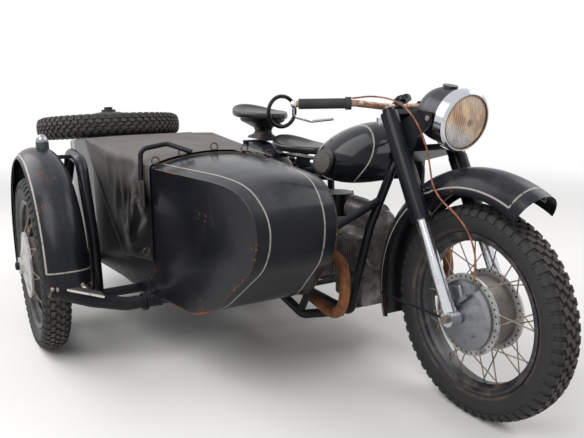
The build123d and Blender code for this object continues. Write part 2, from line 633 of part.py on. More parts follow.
def sidecar_body(nodes):
    """Hollow sheet body: an arched nose, and a tub with the cut-away entry and the trunk behind a bulkhead."""
    full = plan_prism(0, 100, 900) & side_profile(0)
    hollow = plan_prism(SHEET, 100, 900) & side_profile(SHEET)
    nose = (full & half_space(COWL_X, 800) & cowl_roof(0)) - (hollow & cowl_roof(SHEET)) \
        - (half_space(COWL_X - 1, 8) & cowl_roof(SHEET) & plan_prism(SHEET, 400, 900))
    band = (cowl_roof(-4) - cowl_roof(0.5)) & plan_prism(0, 600, 900) & half_space(COWL_X, 30)
    nodes["sidecar_nose"] = nose.fuse(band)
    tub = (full - hollow) & half_space(TAIL_X - 100, COWL_X - TAIL_X + 100)
    cockpit = Pos(COWL_X / 2 + 40, BODY_MID_Y - 8, 770) * Box(COWL_X - 78, 500, 80)
    trunk = Pos(-290, BODY_MID_Y - 30, 780) * Box(480, 520, 160)
    entry_outline = [(COWL_X + 1, 900), (COWL_X + 1, 405), (400, 372), (240, 500), (120, 700), (62, TUB_EDGE),
                     (62, 900)]
    entry = slab(entry_outline, -900, -745)
    bulkhead = hollow & Pos(BULKHEAD_X, BODY_MID_Y, 500) * Box(SHEET, 900, 800)
    nodes["sidecar_body"] = (tub - cockpit - trunk - entry).fuse(bulkhead)


STEP_ROUTE = ((616, -745, RAIL_Z - 8), (619, -880, RAIL_Z - 3), (620, -1000, 283), (616, -1135, 340))
FRONT_STRUT = ((930, -125, 176), (895, -285, 184), (800, INNER_RAIL_Y, RAIL_Z), (640, -758, RAIL_Z))


def sidecar_frame(nodes):
    """Tubular chassis under the body, with the clamped step tube and the struts to the motorcycle."""
    z = RAIL_Z
    pieces = [
        tube([(650, -758, z), (-300, -790, z)], 20),
        long_bar(20, -300, 800, INNER_RAIL_Y, z),
        tube(FRONT_STRUT, 17, bends=30),
        tube([(475, -125, 182), (440, -262, 176), (400, INNER_RAIL_Y, z)], 17, bends=30),
        cross_bar(18, 470, z, OUTRIGGER_Y, -235),
        cross_bar(18, -50, z, OUTRIGGER_Y, INNER_RAIL_Y),
        long_bar(20, -80, 500, OUTRIGGER_Y, z),
        tube(STEP_ROUTE, 25, bends=120),
        cross_bar(34, 617.5, 244, -818, -811),
        cross_bar(34, 617.5, 244, -807, -800),
        cross_bar(5, 617.5, 271.5, -826, -792),
        Pos(658.5, -1108, 366) * Box(57, 30, 30),
    ]
    for x, y in ((560, -762), (-220, -787), (560, INNER_RAIL_Y), (-220, INNER_RAIL_Y)):
        pieces.append(Pos(x, y, (z + BODY_FLOOR) / 2) * Box(60, 34, BODY_FLOOR - z))
    nodes["sidecar_frame"] = join(pieces) - mirror(cradle_tube(CRADLE_RADIUS + 0.2), about=Plane.XZ) \
        - cross_bar(12.2, 930, 190, -125, 125)


def sidecar_stays(nodes):
    """Upper struts from the motorcycle's frame down to the sidecar's chassis."""
    front = tube([(1098, -92, 640), (1068, -262, 555), (1055, -306, 440), (890, -290, 200)], 14, bends=40)
    rear = tube([(466, -119, 600), (470, -222, 560), (470, -246, 480), (470, -246, 262)], 12, bends=30)
    cradle = mirror(cradle_tube(CRADLE_RADIUS + 0.2), about=Plane.XZ)
    front = (front - cradle - tube(FRONT_STRUT, 17.2, bends=30)).solids().sort_by(SortBy.VOLUME)[-1]
    rear = (rear - cradle - cross_bar(18.2, 470, RAIL_Z, -300, -200)).solids().sort_by(SortBy.VOLUME)[-1]
    nodes["sidecar_stays"] = Compound([front, rear])


def sidecar_arm(nodes):
    """Trailing arm with the wheel's axle and nut, and the dust cover in the drum."""
    y = OUTRIGGER_Y - 62
    outer, inner = -TRACK - HUB_HALF_WIDTH - 26.5, -TRACK + HUB_HALF_WIDTH
    x, z = SIDECAR_WHEEL_X, TYRE_RADIUS
    nodes["sidecar_arm"] = join([
        cross_bar(19, 440, RAIL_Z, y - 20, OUTRIGGER_Y - 20.3),
        tube([(440, y, RAIL_Z), (x, y, z)], 17),
        cross_bar(AXLE_RADIUS, x, z, outer - 14, y + 10),
        cross_bar(16, x, z, outer - 12, outer),
        cross_bar(95, x, z, inner - 8, inner),
        cross_bar(24, x, z, inner - 2, y + 18),
    ])


GUARD_SECTION = (
    # radius, distance outward from the wheel's middle plane, in threes that arcs run through
    (417, 52), (448, 22), (456, -30), (447, -70), (424, -92), (396, -106), (366, -113),
)
ARCH_ROUTE = ((470, 255), (452, 460), (332, 748), (140, 760), (0, 600), (-50, 255))


def sidecar_guard(nodes):
    """Mudguard over the sidecar's wheel on its tubular arch, with the marker lamp."""
    arch = [(x, OUTRIGGER_Y, z) for x, z in ARCH_ROUTE]
    rails = [cross_bar(20.2, x, RAIL_Z, OUTRIGGER_Y - 60, OUTRIGGER_Y + 60) for x in (-50, 470)]
    rails.append(long_bar(20.2, -200, 700, OUTRIGGER_Y, RAIL_Z))
    nodes["mudguard_arch"] = tube(arch, 22, bends=70) - rails[0] - rails[1] - rails[2]
    hangers = [cross_bar(8, 240, 757, -1012, -960), cross_bar(8, 62, 668, -999, -960)]
    shell = guard(SIDECAR_AXLE, GUARD_SECTION, (372, -26), 3, 197)
    nodes["sidecar_mudguard"] = join([shell] + hangers) - tube(arch, 22.2, bends=70)
    lamp = join([Pos(255, -1068, 806) * Cylinder(24, 30), Pos(255, -1068, 826) * Cylinder(19, 20)])
    lamp -= guard(SIDECAR_AXLE, GUARD_SECTION, (372, -26), 60, 120)
    nodes["marker_lamp"] = lamp.solids().sort_by(SortBy.VOLUME)[-1]


def sidecar_parts(nodes):
    """Step plate, hand rail, and the trunk lid with its hinge barrel and the spare wheel's stud."""
    nodes["step_plate"] = Pos(622, -1042, 329) * Rot(-21, 0, 0) * Box(62, 170, 8) \
        - tube(STEP_ROUTE, 25.2, bends=120) - Pos(658.5, -1108, 366) * Box(57.4, 30.4, 30.4)
    rail = [(620, -800, 700), (620, -795, 812), (630, -700, 828), (690, -630, 800)]
    nodes["hand_rail"] = tube(rail, 9, bends=28)
    panel = lid_place(-292, 0, -2) * Box(572, 700, 4) & plan_prism(4, 600, 900)
    barrel = cross_bar(4.7, LID_HINGE.X, LID_HINGE.Z, LID_HINGE.Y - 200, LID_HINGE.Y + 200)
    leaf = lid_place(-6, 0, -2) * Box(12, 400, 4)
    stud = lid_place(STUD_ALONG, STUD_SIDE, 75) * Cylinder(9, 150)
    nut = lid_place(STUD_ALONG, STUD_SIDE, 2 * HUB_HALF_WIDTH + 32.8) * Cylinder(20, 12)
    nodes["trunk_lid"] = join([panel, leaf, barrel, stud, nut])


CANVAS_ENDS = (
    # X, outer side, inner side, height at the edges, height at the crown
    (664, -778, -275, 757, 799),
    (20, -856, -262, 804, 812),
)


def tonneau_cover(nodes):
    """Canvas over the cockpit: an arched sheet from the nose to the trunk, with a flap down the open side."""
    ends = []
    for x, low_y, high_y, edge, crown in CANVAS_ENDS:
        mid = (low_y + high_y) / 2
        ends.append(make_face([
            ThreePointArc((x, low_y, edge), (x, mid, crown), (x, high_y, edge)),
            Line((x, high_y, edge), (x, high_y, edge - 3)),
            ThreePointArc((x, high_y, edge - 3), (x, mid, crown - 3), (x, low_y, edge - 3)),
            Line((x, low_y, edge - 3), (x, low_y, edge)),
        ]))
    band = make_face(Polyline((675, -771.5), (COWL_X, -778), (100, -852), (10, -852), (10, -856), (100, -856),
                              (COWL_X, -782), (675, -775.5), close=True))
    flap = Pos(0, 0, 300) * extrude(band, 520) \
        & slab([(664, 755), (672, 400), (390, 366), (280, 490), (142, 672), (20, 803)], -900, -700)
    nodes["tonneau_cover"] = loft(ends, ruled=True).fuse(flap)


MAKERS = (
    wheels, fork_upper, fork_sliders, brake_plate, headlamp, handlebar, brake_cable, front_guard, frame, engine,
    gearbox, cylinders, intake, exhausts, fuel_tank, saddles, rear_end, foot_controls, centre_stand, sidecar_body,
    sidecar_frame, sidecar_stays, sidecar_arm, sidecar_guard, sidecar_parts, tonneau_cover,
)


def main():
    nodes = {}
    for make in MAKERS:
        make(nodes)
    os.makedirs("parts", exist_ok=True)
    for name, shape in nodes.items():
        export_step(Pos(-CENTRE_X, -CENTRE_Y, 0) * shape, "parts/" + name + ".step")


main()
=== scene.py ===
# %% [markdown]
# # A motorcycle with a sidecar
# This lesson gives them their finishes and adds what CAD leaves out: tread, canvas, soft saddles, bent pipes, welts
# and fasteners.

# %% The CAD model
from cmath import phase, rect
from math import atan2, cos, exp, pi, radians, sin

import bmesh
import bpy
from mathutils import Matrix, Vector


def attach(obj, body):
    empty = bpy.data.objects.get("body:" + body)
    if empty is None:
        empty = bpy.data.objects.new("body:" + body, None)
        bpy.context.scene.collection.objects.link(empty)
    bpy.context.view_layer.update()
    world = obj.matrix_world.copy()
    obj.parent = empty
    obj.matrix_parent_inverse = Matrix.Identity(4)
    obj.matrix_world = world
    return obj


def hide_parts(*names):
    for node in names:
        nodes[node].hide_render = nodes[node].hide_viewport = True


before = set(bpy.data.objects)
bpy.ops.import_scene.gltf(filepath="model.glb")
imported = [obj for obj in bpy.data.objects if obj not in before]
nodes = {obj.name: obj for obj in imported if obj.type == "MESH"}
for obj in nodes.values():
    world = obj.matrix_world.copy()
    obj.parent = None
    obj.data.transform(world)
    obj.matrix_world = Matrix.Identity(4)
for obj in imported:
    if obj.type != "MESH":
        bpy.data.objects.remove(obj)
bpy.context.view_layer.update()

# %% [markdown]
# ## Places
# The CAD model was drawn about the rear axle, in millimetres. A small function turns such a point into the shared
# frame, so that each place below can be compared with the drawing.

# %% Places
MIDDLE = Vector((0.564, -0.404, 0))


def at(x, y=0, z=0):
    """Point in the shared frame, from millimetres about the rear axle."""
    return Vector((x, y, z)) / 1000 - MIDDLE


RAKE = radians(28.9)
LAMP_TILT = radians(12)
LID_SLOPE = radians(5.9)
UP_FORK = Vector((-sin(RAKE), 0, cos(RAKE)))
LAMP_AXIS = Vector((cos(LAMP_TILT), 0, -sin(LAMP_TILT)))
LAMP_CENTRE = at(1400, 0, 924)
LENS_RADIUS = 0.084
LID_UP = Vector((-sin(LID_SLOPE), 0, cos(LID_SLOPE)))
WHEELS = {
    # name: body, centre, axis that points out of the hub's closed side
    "front": ("front_wheel", at(1500, 0, 341), Vector((0, 1, 0))),
    "rear": ("rear_wheel", at(0, 0, 341), Vector((0, 1, 0))),
    "sidecar": ("sidecar_wheel", at(242, -1108, 341), Vector((0, -1, 0))),
    "spare": ("trunk_lid", at(-373.9, -650, 822.4), LID_UP),
}
print("wheels", list(WHEELS))

# %% [markdown]
# ## Camera
# A camera was fitted to the outlines of both visible wheels. Its lens, place and direction are the photograph's, so
# the render can be laid over it.

# %% Camera
CAMERA_PLACE = (2836.1, -1450.2, 1062.2)
CAMERA_TURN = (77.344, 0.053, 60.042)  # degrees
FOCAL_LENGTH = 38.97

bpy.ops.object.camera_add(location=at(*CAMERA_PLACE), rotation=[radians(angle) for angle in CAMERA_TURN])
camera = bpy.context.active_object
camera.data.lens = FOCAL_LENGTH
camera.data.sensor_width = 36
bpy.context.scene.camera = camera
print("camera", tuple(round(c, 3) for c in camera.location))

# %% [markdown]
# ## Working by hand in code
# Operators act on what is selected, and a fresh import leaves everything selected. These helpers select one piece, open
# it in edit mode, make the shapes that come up again and again, and settle a finished piece on the body it rides on.

# %% Helpers for modelling
def choose(*pieces):
    """Selects these pieces only, and makes the first one active."""
    bpy.ops.object.select_all(action="DESELECT")
    for piece in pieces:
        piece.select_set(True)
    bpy.context.view_layer.objects.active = pieces[0]


def edit(piece):
    """Opens a piece in edit mode with all of it selected, and gives its mesh."""
    choose(piece)
    bpy.ops.object.mode_set(mode="EDIT")
    bpy.ops.mesh.select_all(action="SELECT")
    return bmesh.from_edit_mesh(piece.data)


def close(piece):
    """Writes the moved vertices and leaves edit mode."""
    bmesh.update_edit_mesh(piece.data)
    bpy.ops.object.mode_set(mode="OBJECT")


def close_outward(piece):
    """Turns every face outward, then closes the piece."""
    bpy.ops.mesh.select_all(action="SELECT")
    bpy.ops.mesh.normals_make_consistent(inside=False)
    close(piece)


def extrude(mesh, height):
    """Extrudes what is selected upwards, and gives the new vertices and their middle."""
    bpy.ops.mesh.extrude_region_move(TRANSFORM_OT_translate={"value": (0, 0, height)})
    return selected(mesh)


def selected(mesh):
    """The selected vertices and their middle."""
    found = [vertex for vertex in mesh.verts if vertex.select]
    return found, sum((vertex.co for vertex in found), Vector()) / len(found)


def fresh(name):
    """The primitive that was just added, under its own name."""
    piece = bpy.context.active_object
    piece.name = piece.data.name = name
    return piece


def modify(piece, kind, **settings):
    """Adds a modifier and applies it."""
    choose(piece)
    modifier = piece.modifiers.new(kind, kind)
    for key, value in settings.items():
        setattr(modifier, key, value)
    bpy.ops.object.modifier_apply(modifier=modifier.name)


def fix_place(piece):
    """Writes a piece's place, turn and scale into its mesh."""
    choose(piece)
    bpy.ops.object.transform_apply(location=True, rotation=True, scale=True)


def dress(piece, finish):
    """Gives a piece one material."""
    piece.data.materials.clear()
    piece.data.materials.append(finish)


def join(pieces, name):
    """One piece of several."""
    choose(*pieces)
    if len(pieces) > 1:
        bpy.ops.object.join()
    return fresh(name)


def smooth(piece, angle):
    choose(piece)
    bpy.ops.object.shade_smooth_by_angle(angle=radians(angle))


def chain(points, name, closed=False):
    """Points joined by edges: a ring of vertices is laid along them, and opened unless it is closed."""
    bpy.ops.mesh.primitive_circle_add(vertices=len(points), radius=1)
    piece = fresh(name)
    mesh = edit(piece)
    for vertex, point in zip(mesh.verts, points):
        vertex.co = point
    if not closed:
        last = [edge for edge in mesh.edges if {v.index for v in edge.verts} == {0, len(points) - 1}]
        bmesh.ops.delete(mesh, geom=last, context="EDGES")
    close(piece)
    return piece


def lathe(outline, name, steps, angle, closed=False):
    """Outline of radius and height in millimetres, spun about the Z axis and smooth up to an angle."""
    piece = chain([(radius / 1000, 0, height / 1000) for radius, height in outline], name, closed)
    edit(piece)
    bpy.ops.mesh.spin(steps=steps, angle=2 * pi, center=(0, 0, 0), axis=(0, 0, 1))
    bpy.ops.mesh.select_all(action="SELECT")
    bpy.ops.mesh.remove_doubles(threshold=0.00005)
    close_outward(piece)
    smooth(piece, angle)
    return piece


def strand(points, name, radius, sides=3, curve="POLY"):
    """Round tube along points."""
    chain(points, name)
    bpy.ops.object.convert(target="CURVE")
    piece = bpy.context.active_object
    for spline in piece.data.splines:
        spline.type = curve
        spline.order_u, spline.resolution_u = 4, 10
        spline.use_endpoint_u = True
    piece.data.bevel_depth = radius
    piece.data.bevel_resolution = sides
    piece.data.use_fill_caps = True
    bpy.ops.object.convert(target="MESH")
    smooth(fresh(name), 60)
    return bpy.context.active_object


def turned(axis):
    """Rotation that points the Z axis along a direction."""
    return Vector(axis).to_track_quat("Z", "Y").to_euler()


def rod(name, place, rotation, radius, depth, vertices=24, bevel=0.002):
    """Cylinder with rounded edges."""
    bpy.ops.mesh.primitive_cylinder_add(vertices=vertices, radius=radius, depth=depth, location=place,
                                        rotation=rotation)
    piece = fresh(name)
    modify(piece, "BEVEL", width=bevel, segments=2)
    return piece


def slab(name, place, size):
    """Block with rounded edges, from its place and size in millimetres."""
    bpy.ops.mesh.primitive_cube_add(size=1, location=at(*place))
    piece = fresh(name)
    piece.scale = Vector(size) / 1000
    fix_place(piece)
    modify(piece, "BEVEL", width=0.002, segments=2)
    return piece


def settle(piece, body, finish, slot, *replaced):
    """A finished piece: at the origin, in its material, riding on its body."""
    fix_place(piece)
    dress(piece, finish)
    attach(piece, body)
    if replaced:
        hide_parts(*replaced)
    print(piece.name, "on", body, len(piece.data.polygons), "faces")


# %% [markdown]
# ## Shader maths as Python
# Node trees are easier to read as expressions. `Reading` wraps a socket, so that `1 - mask` adds a Math node and
# `mask.mix(first, second)` a Mix node. `Finish` is one material, and its `node` adds any other node.

# %% Expressions for shaders
def feed(socket, value):
    """Links a reading to a socket, or writes a plain value on it."""
    if isinstance(value, Reading):
        socket.id_data.links.new(value.socket, socket)
    elif hasattr(value, "__len__") and len(value) == 3 and len(socket.default_value) == 4:
        socket.default_value = (*value, 1)
    else:
        socket.default_value = value


def feed_all(node, values):
    for key, value in values.items():
        feed(node.inputs[key.replace("_", " ")], value)


def add_node(tree, kind, settings=None, output=0, sockets=(), **values):
    """Adds a node: its type, its settings, and the values or links of its sockets, numbered or named."""
    node = tree.nodes.new("ShaderNode" + kind)
    for key, value in (settings or {}).items():
        setattr(node, key, value)
    for key, value in dict(sockets).items():
        feed(node.inputs[key], value)
    feed_all(node, values)
    return Reading(node.outputs[output])


def operator(operation, swapped=False):
    """Method that stands for one of Python's operators."""
    return lambda self, other=0.0: self.math(operation, other, swapped)


class Reading:
    """What a node gives, for use in Python expressions."""

    def __init__(self, socket):
        self.socket, self.tree = socket, socket.id_data

    def math(self, operation, other=0.0, swapped=False):
        """Maths on this reading and another value, which comes first if they are swapped."""
        pair = (other, self) if swapped else (self, other)
        return add_node(self.tree, "Math", {"operation": operation}, sockets=enumerate(pair))

    __add__ = __radd__ = operator("ADD")
    __sub__, __rsub__ = operator("SUBTRACT"), operator("SUBTRACT", swapped=True)
    __mul__ = __rmul__ = operator("MULTIPLY")
    __truediv__, __pow__, __abs__ = operator("DIVIDE"), operator("POWER"), operator("ABSOLUTE")
    __lt__, __gt__ = operator("LESS_THAN"), operator("GREATER_THAN")

    def fade(self, low, high):
        """0 below low, 1 above high, and smooth between."""
        return add_node(self.tree, "MapRange", {"interpolation_type": "SMOOTHSTEP"}, Value=self, From_Min=low,
                        From_Max=high)

    def mix(self, first, second):
        """The first colour where this is 0 and the second where it is 1."""
        return add_node(self.tree, "Mix", {"data_type": "RGBA"}, 2, {0: self, 6: first, 7: second})


class Finish:
    """One material and its shader."""

    def __init__(self, name, **constants):
        self.material = bpy.data.materials.new(name)
        self.material.use_nodes = True
        self.tree = self.material.node_tree
        self.shader = self.tree.nodes["Principled BSDF"]
        self.place = self.node("TexCoord", output=3)
        self.x, self.y, self.z = (self.node("SeparateXYZ", output=k, Vector=self.place) for k in range(3))
        self.set(**constants)

    def node(self, *about, **values):
        return add_node(self.tree, *about, **values)

    def set(self, **values):
        feed_all(self.shader, values)

    def noise(self, scale, detail=4, roughness=0.6, stretch=None):
        """Cloudy pattern between 0 and 1, with so many clouds to a metre."""
        place = self.place
        if stretch:
            place = self.node("Mapping", Vector=place, Scale=stretch)
        return self.node("TexNoise", Vector=place, Scale=scale, Detail=detail, Roughness=roughness)

    def bump(self, height, strength, distance):
        self.set(Normal=self.node("Bump", Strength=strength, Distance=distance, Height=height))

    def around(self, centre, axis):
        """Distance from an axis, and place along it."""
        offset = self.node("VectorMath", {"operation": "SUBTRACT"}, sockets={0: self.place, 1: tuple(centre)})
        along = self.node("VectorMath", {"operation": "DOT_PRODUCT"}, output=1, sockets={0: offset, 1: tuple(axis)})
        length = self.node("VectorMath", {"operation": "LENGTH"}, output=1, sockets={0: offset})
        return (length * length - along * along) ** 0.5, along

    def colour(self):
        """What feeds the base colour so far."""
        return Reading(self.shader.inputs["Base Color"].links[0].from_socket)

    def ellipse(self, x, z, tilt, length, height):
        """Share of the way from the centre of a tilted ellipse to its edge, seen from the side."""
        ahead, above = self.x - at(x).x, self.z - z
        along = (ahead * cos(tilt) + above * sin(tilt)) / length
        over = (above * cos(tilt) - ahead * sin(tilt)) / height
        return (along * along + over * over) ** 0.5

    def upward(self):
        """1 on faces that look up, where dust settles."""
        up = self.node("SeparateXYZ", output=2, Vector=self.node("NewGeometry", output=1))
        return up.fade(0.2, 1.0)


RUST = (0.20, 0.065, 0.022)
DUST = (0.22, 0.19, 0.16)

# %% [markdown]
# ## Old black paint
# The whole vehicle was brushed and sprayed black many years ago. The gloss has gone in patches, dust lies on the
# upper faces and low down, and rust comes through in small chips. The upper faces are also lightened blue-grey,
# partly by chalking paint and partly by a painted reflection of the sky. Lines of pale paint run along the edges
# of the sheet metal, and a mask for them is made from the distance to that edge.

# %% Black paint
def paint(name, stripe=None, chips=0.5, tint=(0.0046, 0.0052, 0.0074), gloss=0.20):
    """Worn black paint. stripe gives the mask of the pale line, and more chips lower the threshold for rust."""
    look = Finish(name, Specular_IOR_Level=0.18)
    clouds = look.noise(5.0, 5)
    speckle = look.noise(120.0, 3)
    colour = clouds.mix(tint, tuple(c * 1.7 + 0.002 for c in tint))
    dust = look.noise(9.0, 6, 0.7).fade(0.42, 0.75) * (0.018 + 0.085 * look.upward())
    low = (1 - look.z.fade(0.15, 0.5)) * look.noise(14.0, 5, 0.7).fade(0.35, 0.7) * 0.05
    # Painted reflection, partly real: the upper faces turn blue-grey, partly chalking paint and partly a painted
    # reflection of the sky.
    chalky_and_sky_sheen = look.upward() * clouds.fade(0.2, 0.8) * 0.22
    colour = chalky_and_sky_sheen.mix(colour, (0.11, 0.13, 0.17))
    colour = (dust + low).mix(colour, DUST)
    lines = look.noise(16.0, 2, 0.5, stretch=(1, 1, 14)) * look.noise(3.0, 2)
    scratch = lines.fade(0.38, 0.41) * 0.05
    colour = scratch.mix(colour, (0.11, 0.105, 0.10))
    spots = look.noise(170.0, 3, 0.6) * look.noise(9.0, 4)
    edge = 0.435 - 0.050 * chips
    chipped = spots.fade(edge, edge + 0.012)
    if stripe:
        line = stripe(look) * look.noise(70.0, 4, 0.7).fade(0.30, 0.42)
        colour = line.mix(colour, (0.33, 0.30, 0.27))
    colour = chipped.mix(colour, RUST)
    look.set(Base_Color=colour, Roughness=gloss + 0.16 * clouds + dust + low + 0.45 * chipped - 0.05)
    dents = look.noise(8.0, 2) * 3.0
    look.bump(dents + 0.10 * speckle - 0.35 * chipped, 0.35, 0.0011)
    return look.material


def line_at(distance, half_width=0.0024):
    """Narrow line where a distance is near zero."""
    return 1 - abs(distance).fade(half_width * 0.8, half_width * 1.25)


# %% [markdown]
# The lines on the sidecar's nose follow both flanks at a hand's width; those on the mudguards follow the skirt and
# cross over in front of the end; the one on the tank is part of a tilted ellipse behind which the knee pad sits.

# %% Pale lines
NOSE_TAPER = 113 / 630  # how much each flank comes in for each length forward


def nose_lines(look):
    fall = (look.x - at(640).x) * NOSE_TAPER
    outer = look.y - fall - at(0, -776 + 44).y
    inner = look.y + fall - at(0, -275 - 44).y
    ahead = look.x.fade(at(655).x, at(665).x)
    return (line_at(outer, 0.0025) + line_at(inner, 0.0025)) * ahead


def guard_lines(centre, skirt, end_angle, side=None):
    def lines(look):
        radius, _ = look.around(centre, (0, 1, 0))
        across = radius - skirt if side is None else look.y - side
        ahead, above, angle = look.x - centre.x, look.z - centre.z, radians(end_angle)
        to_end = ahead * -sin(angle) + above * cos(angle)
        rising = ahead * cos(angle) + above * sin(angle) > 0.0
        cross = line_at(to_end) * rising
        return line_at(across) * (to_end > 0.0) + cross * (across > 0.0)
    return lines


def tank_line(look):
    ring = look.ellipse(905, 0.776, tilt=radians(15), length=0.172, height=0.108)
    return line_at(ring - 1, 0.013) * (look.x - at(905).x).fade(-0.12, -0.02)


BLACK = paint("black_paint")
WORN_BLACK = paint("black_paint_worn", chips=0.9, gloss=0.28)
EDGE_PAINT = paint("black_paint_edges", chips=2.6, tint=(0.016, 0.014, 0.014))
print("paints", BLACK.name, WORN_BLACK.name)

# %% [markdown]
# ## Bare metals
# Castings are dull aluminium with oily dirt in patches, the sliders and levers are polished, and what got hot or wet
# has rusted. One function covers all, with its colours and roughness given by each use.

# %% Metals
def metal(name, colour, dirt=(0.05, 0.042, 0.035), amount=0.5, rough=0.42, rust=0.0):
    """Metal with dirt in clouds. A larger amount darkens more of it."""
    look = Finish(name)
    clouds = look.noise(11.0, 6, 0.7)
    soiled = clouds.fade(0.62 - 0.3 * amount, 0.92 - 0.3 * amount)
    fine = look.noise(260.0, 3)
    shade = fine.mix(tuple(c * 0.86 for c in colour), tuple(min(1, c * 1.1) for c in colour))
    shade = (soiled * 0.85).mix(shade, dirt)
    rusted = look.noise(17.0, 6, 0.75).fade(0.66 - 0.32 * rust, 0.74 - 0.25 * rust) * min(1, rust * 2)
    shade = rusted.mix(shade, RUST)
    look.set(Base_Color=shade, Metallic=0.95 - 0.75 * soiled - 0.20 * rusted,
               Roughness=rough + 0.28 * soiled + 0.2 * rusted)
    look.bump(fine + 2 * clouds, 0.25, 0.0006)
    return look


def rusted_pipe():
    """Orange and dark brown scale on the headers, and older, darker rust on the silencers."""
    look = Finish("rusted_pipe")
    scale, fine = look.noise(14.0, 6, 0.7), look.noise(150.0, 4, 0.7)
    shade = scale.fade(0.35, 0.65).mix((0.105, 0.038, 0.014), (0.36, 0.135, 0.045))
    shade = (fine.fade(0.55, 0.75) * 0.5).mix(shade, (0.05, 0.024, 0.014))
    behind = 1 - look.x.fade(at(420).x, at(900).x)
    shade = (behind * (0.55 + 0.4 * fine)).mix(shade, (0.065, 0.042, 0.031))
    look.set(Base_Color=shade, Metallic=0.15, Roughness=0.62 + 0.25 * fine)
    look.bump(fine + scale, 0.5, 0.0010)
    return look.material


CASTING = metal("cast_aluminium", (0.25, 0.26, 0.28), amount=0.5, rough=0.38).material
ENGINE_CASTING = metal("engine_aluminium", (0.33, 0.315, 0.295), dirt=(0.022, 0.018, 0.015), amount=1.0,
                       rough=0.36).material
POLISHED = metal("polished_steel", (0.60, 0.62, 0.66), amount=0.15, rough=0.17, rust=0.25).material
STEP_METAL = metal("step_aluminium", (0.68, 0.66, 0.62), amount=0.3, rough=0.4).material
BAR_METAL = metal("handlebar_chrome", (0.55, 0.43, 0.34), dirt=(0.22, 0.09, 0.04), amount=0.9, rough=0.25,
                  rust=0.5).material
FIXINGS = metal("old_fixings", (0.30, 0.27, 0.25), dirt=(0.12, 0.06, 0.035), amount=0.8, rough=0.45, rust=0.5).material
DARK_FIXINGS = metal("dark_fixings", (0.07, 0.062, 0.058), dirt=(0.06, 0.035, 0.024), amount=0.7, rough=0.42,
                     rust=0.3).material
RUSTED = rusted_pipe()
print("metals", CASTING.name, POLISHED.name, RUSTED.name)

# %% [markdown]
# ## Wheels and rubber
# Each wheel is one or two CAD nodes. Their hubs carry the spokes, so the finish changes with the distance from the
# axle: cast hub, rusty spokes, black rim.

# %% Finish of wheels
DRUM, HOLES, FLANGE, RIM = 0.098, 0.1215, 0.1305, 0.2225  # radii in metres


def wheel_finish(name):
    """Hub with a dark drum between bright flanges, rusted spokes beyond them, black rim outside."""
    _, centre, axis = WHEELS[name]
    look = metal(name + "_wheel_metal", (0.035, 0.035, 0.04) if name == "spare" else (0.50, 0.50, 0.49), amount=0.6)
    radius, along = look.around(centre, axis)
    drum = radius.fade(DRUM, DRUM + 0.003) * (1 - abs(along).fade(0.0435, 0.0475))
    hub_colour = (drum * 0.85).mix(look.colour(), (0.070, 0.055, 0.045))
    turn = (look.x - centre.x).math("ARCTAN2", look.z - centre.z) * (18 / pi)
    hole = (abs(turn.math("FRACT") - 0.5) < 0.15) * (abs(radius - HOLES) < 0.003)
    hub_colour = hole.mix(hub_colour, (0.03, 0.022, 0.018))
    spoke = look.noise(90.0, 3).mix((0.11, 0.06, 0.038), (0.30, 0.25, 0.21))
    rim = look.noise(20.0, 5, 0.7).fade(0.45, 0.72).mix((0.010, 0.011, 0.016), (0.085, 0.07, 0.055))
    outside, far = radius.fade(FLANGE, FLANGE + 0.001), radius.fade(RIM, RIM + 0.001)
    colour = far.mix(outside.mix(hub_colour, spoke), rim)
    look.set(Base_Color=colour, Metallic=0.75 * (1 - far) * (1 - drum),
               Roughness=0.45 - 0.10 * far + 0.1 * look.noise(30.0))
    return look.material


def rubber(name, colour=(0.013, 0.013, 0.014), dust=0.35, rough=0.6, grain=180.0):
    look = Finish(name, Specular_IOR_Level=0.4)
    clouds = look.noise(8.0, 6, 0.75).fade(0.35, 0.75)
    grains = look.noise(grain, 3)
    look.set(Base_Color=(clouds * dust * 0.5).mix(colour, DUST), Roughness=rough + 0.15 * grains)
    look.bump(grains, 0.3, 0.0006)
    return look


def tyre_rubber(name):
    """Tyre rubber: dust low on the walls, brown dirt where the tread meets the road, painted shade between the blocks.
    """
    _, centre, axis = WHEELS[name]
    look = rubber(name + "_tyre_rubber", (0.020, 0.020, 0.021))
    radius, along = look.around(centre, axis)
    shade = look.noise(7.0, 5, 0.7).mix((0.010, 0.010, 0.011), (0.024, 0.022, 0.021))
    bead = look.noise(12.0, 5).fade(0.35, 0.65) * (1 - abs(radius - 0.262).fade(0.003, 0.011)) * 0.40
    worn = radius.fade(0.3335, 0.3395) * look.noise(25.0, 5, 0.7).fade(0.30, 0.60) * 0.30
    # Painted shade: the carcass between the middle blocks is darkened.
    groove_shade = (1 - radius.fade(0.330, 0.336)) * (1 - abs(along).fade(0.034, 0.041)) * 0.5
    colour = (bead + worn).mix(shade, (0.15, 0.125, 0.105))
    colour = groove_shade.mix(colour, (0.010, 0.009, 0.008))
    look.set(Base_Color=colour)
    rings = look.node("TexWave", {"wave_type": "BANDS"}, Vector=look.node("CombineXYZ", X=radius), Scale=70.0)
    plain = abs(radius - 0.283).fade(0.012, 0.016)
    look.bump(look.noise(200.0, 3) + rings * (1 - plain), 0.35, 0.0007)
    return look.material


for name in WHEELS:
    coat = wheel_finish(name)
    for part in ("wheel",) if name == "spare" else ("rim", "hub"):
        dress(nodes[name + "_" + part], coat)
BLACK_RUBBER = rubber("black_rubber").material
SADDLE_RUBBER = rubber("saddle_rubber", (0.006, 0.006, 0.008), dust=0.06, rough=0.22, grain=420.0).material
print("wheel finishes for", list(WHEELS))

# %% [markdown]
# The lamp's finish changes along its axis in the same way. In those of the other small pieces, a mask marks off each
# zone, such as the bulb behind the glass.

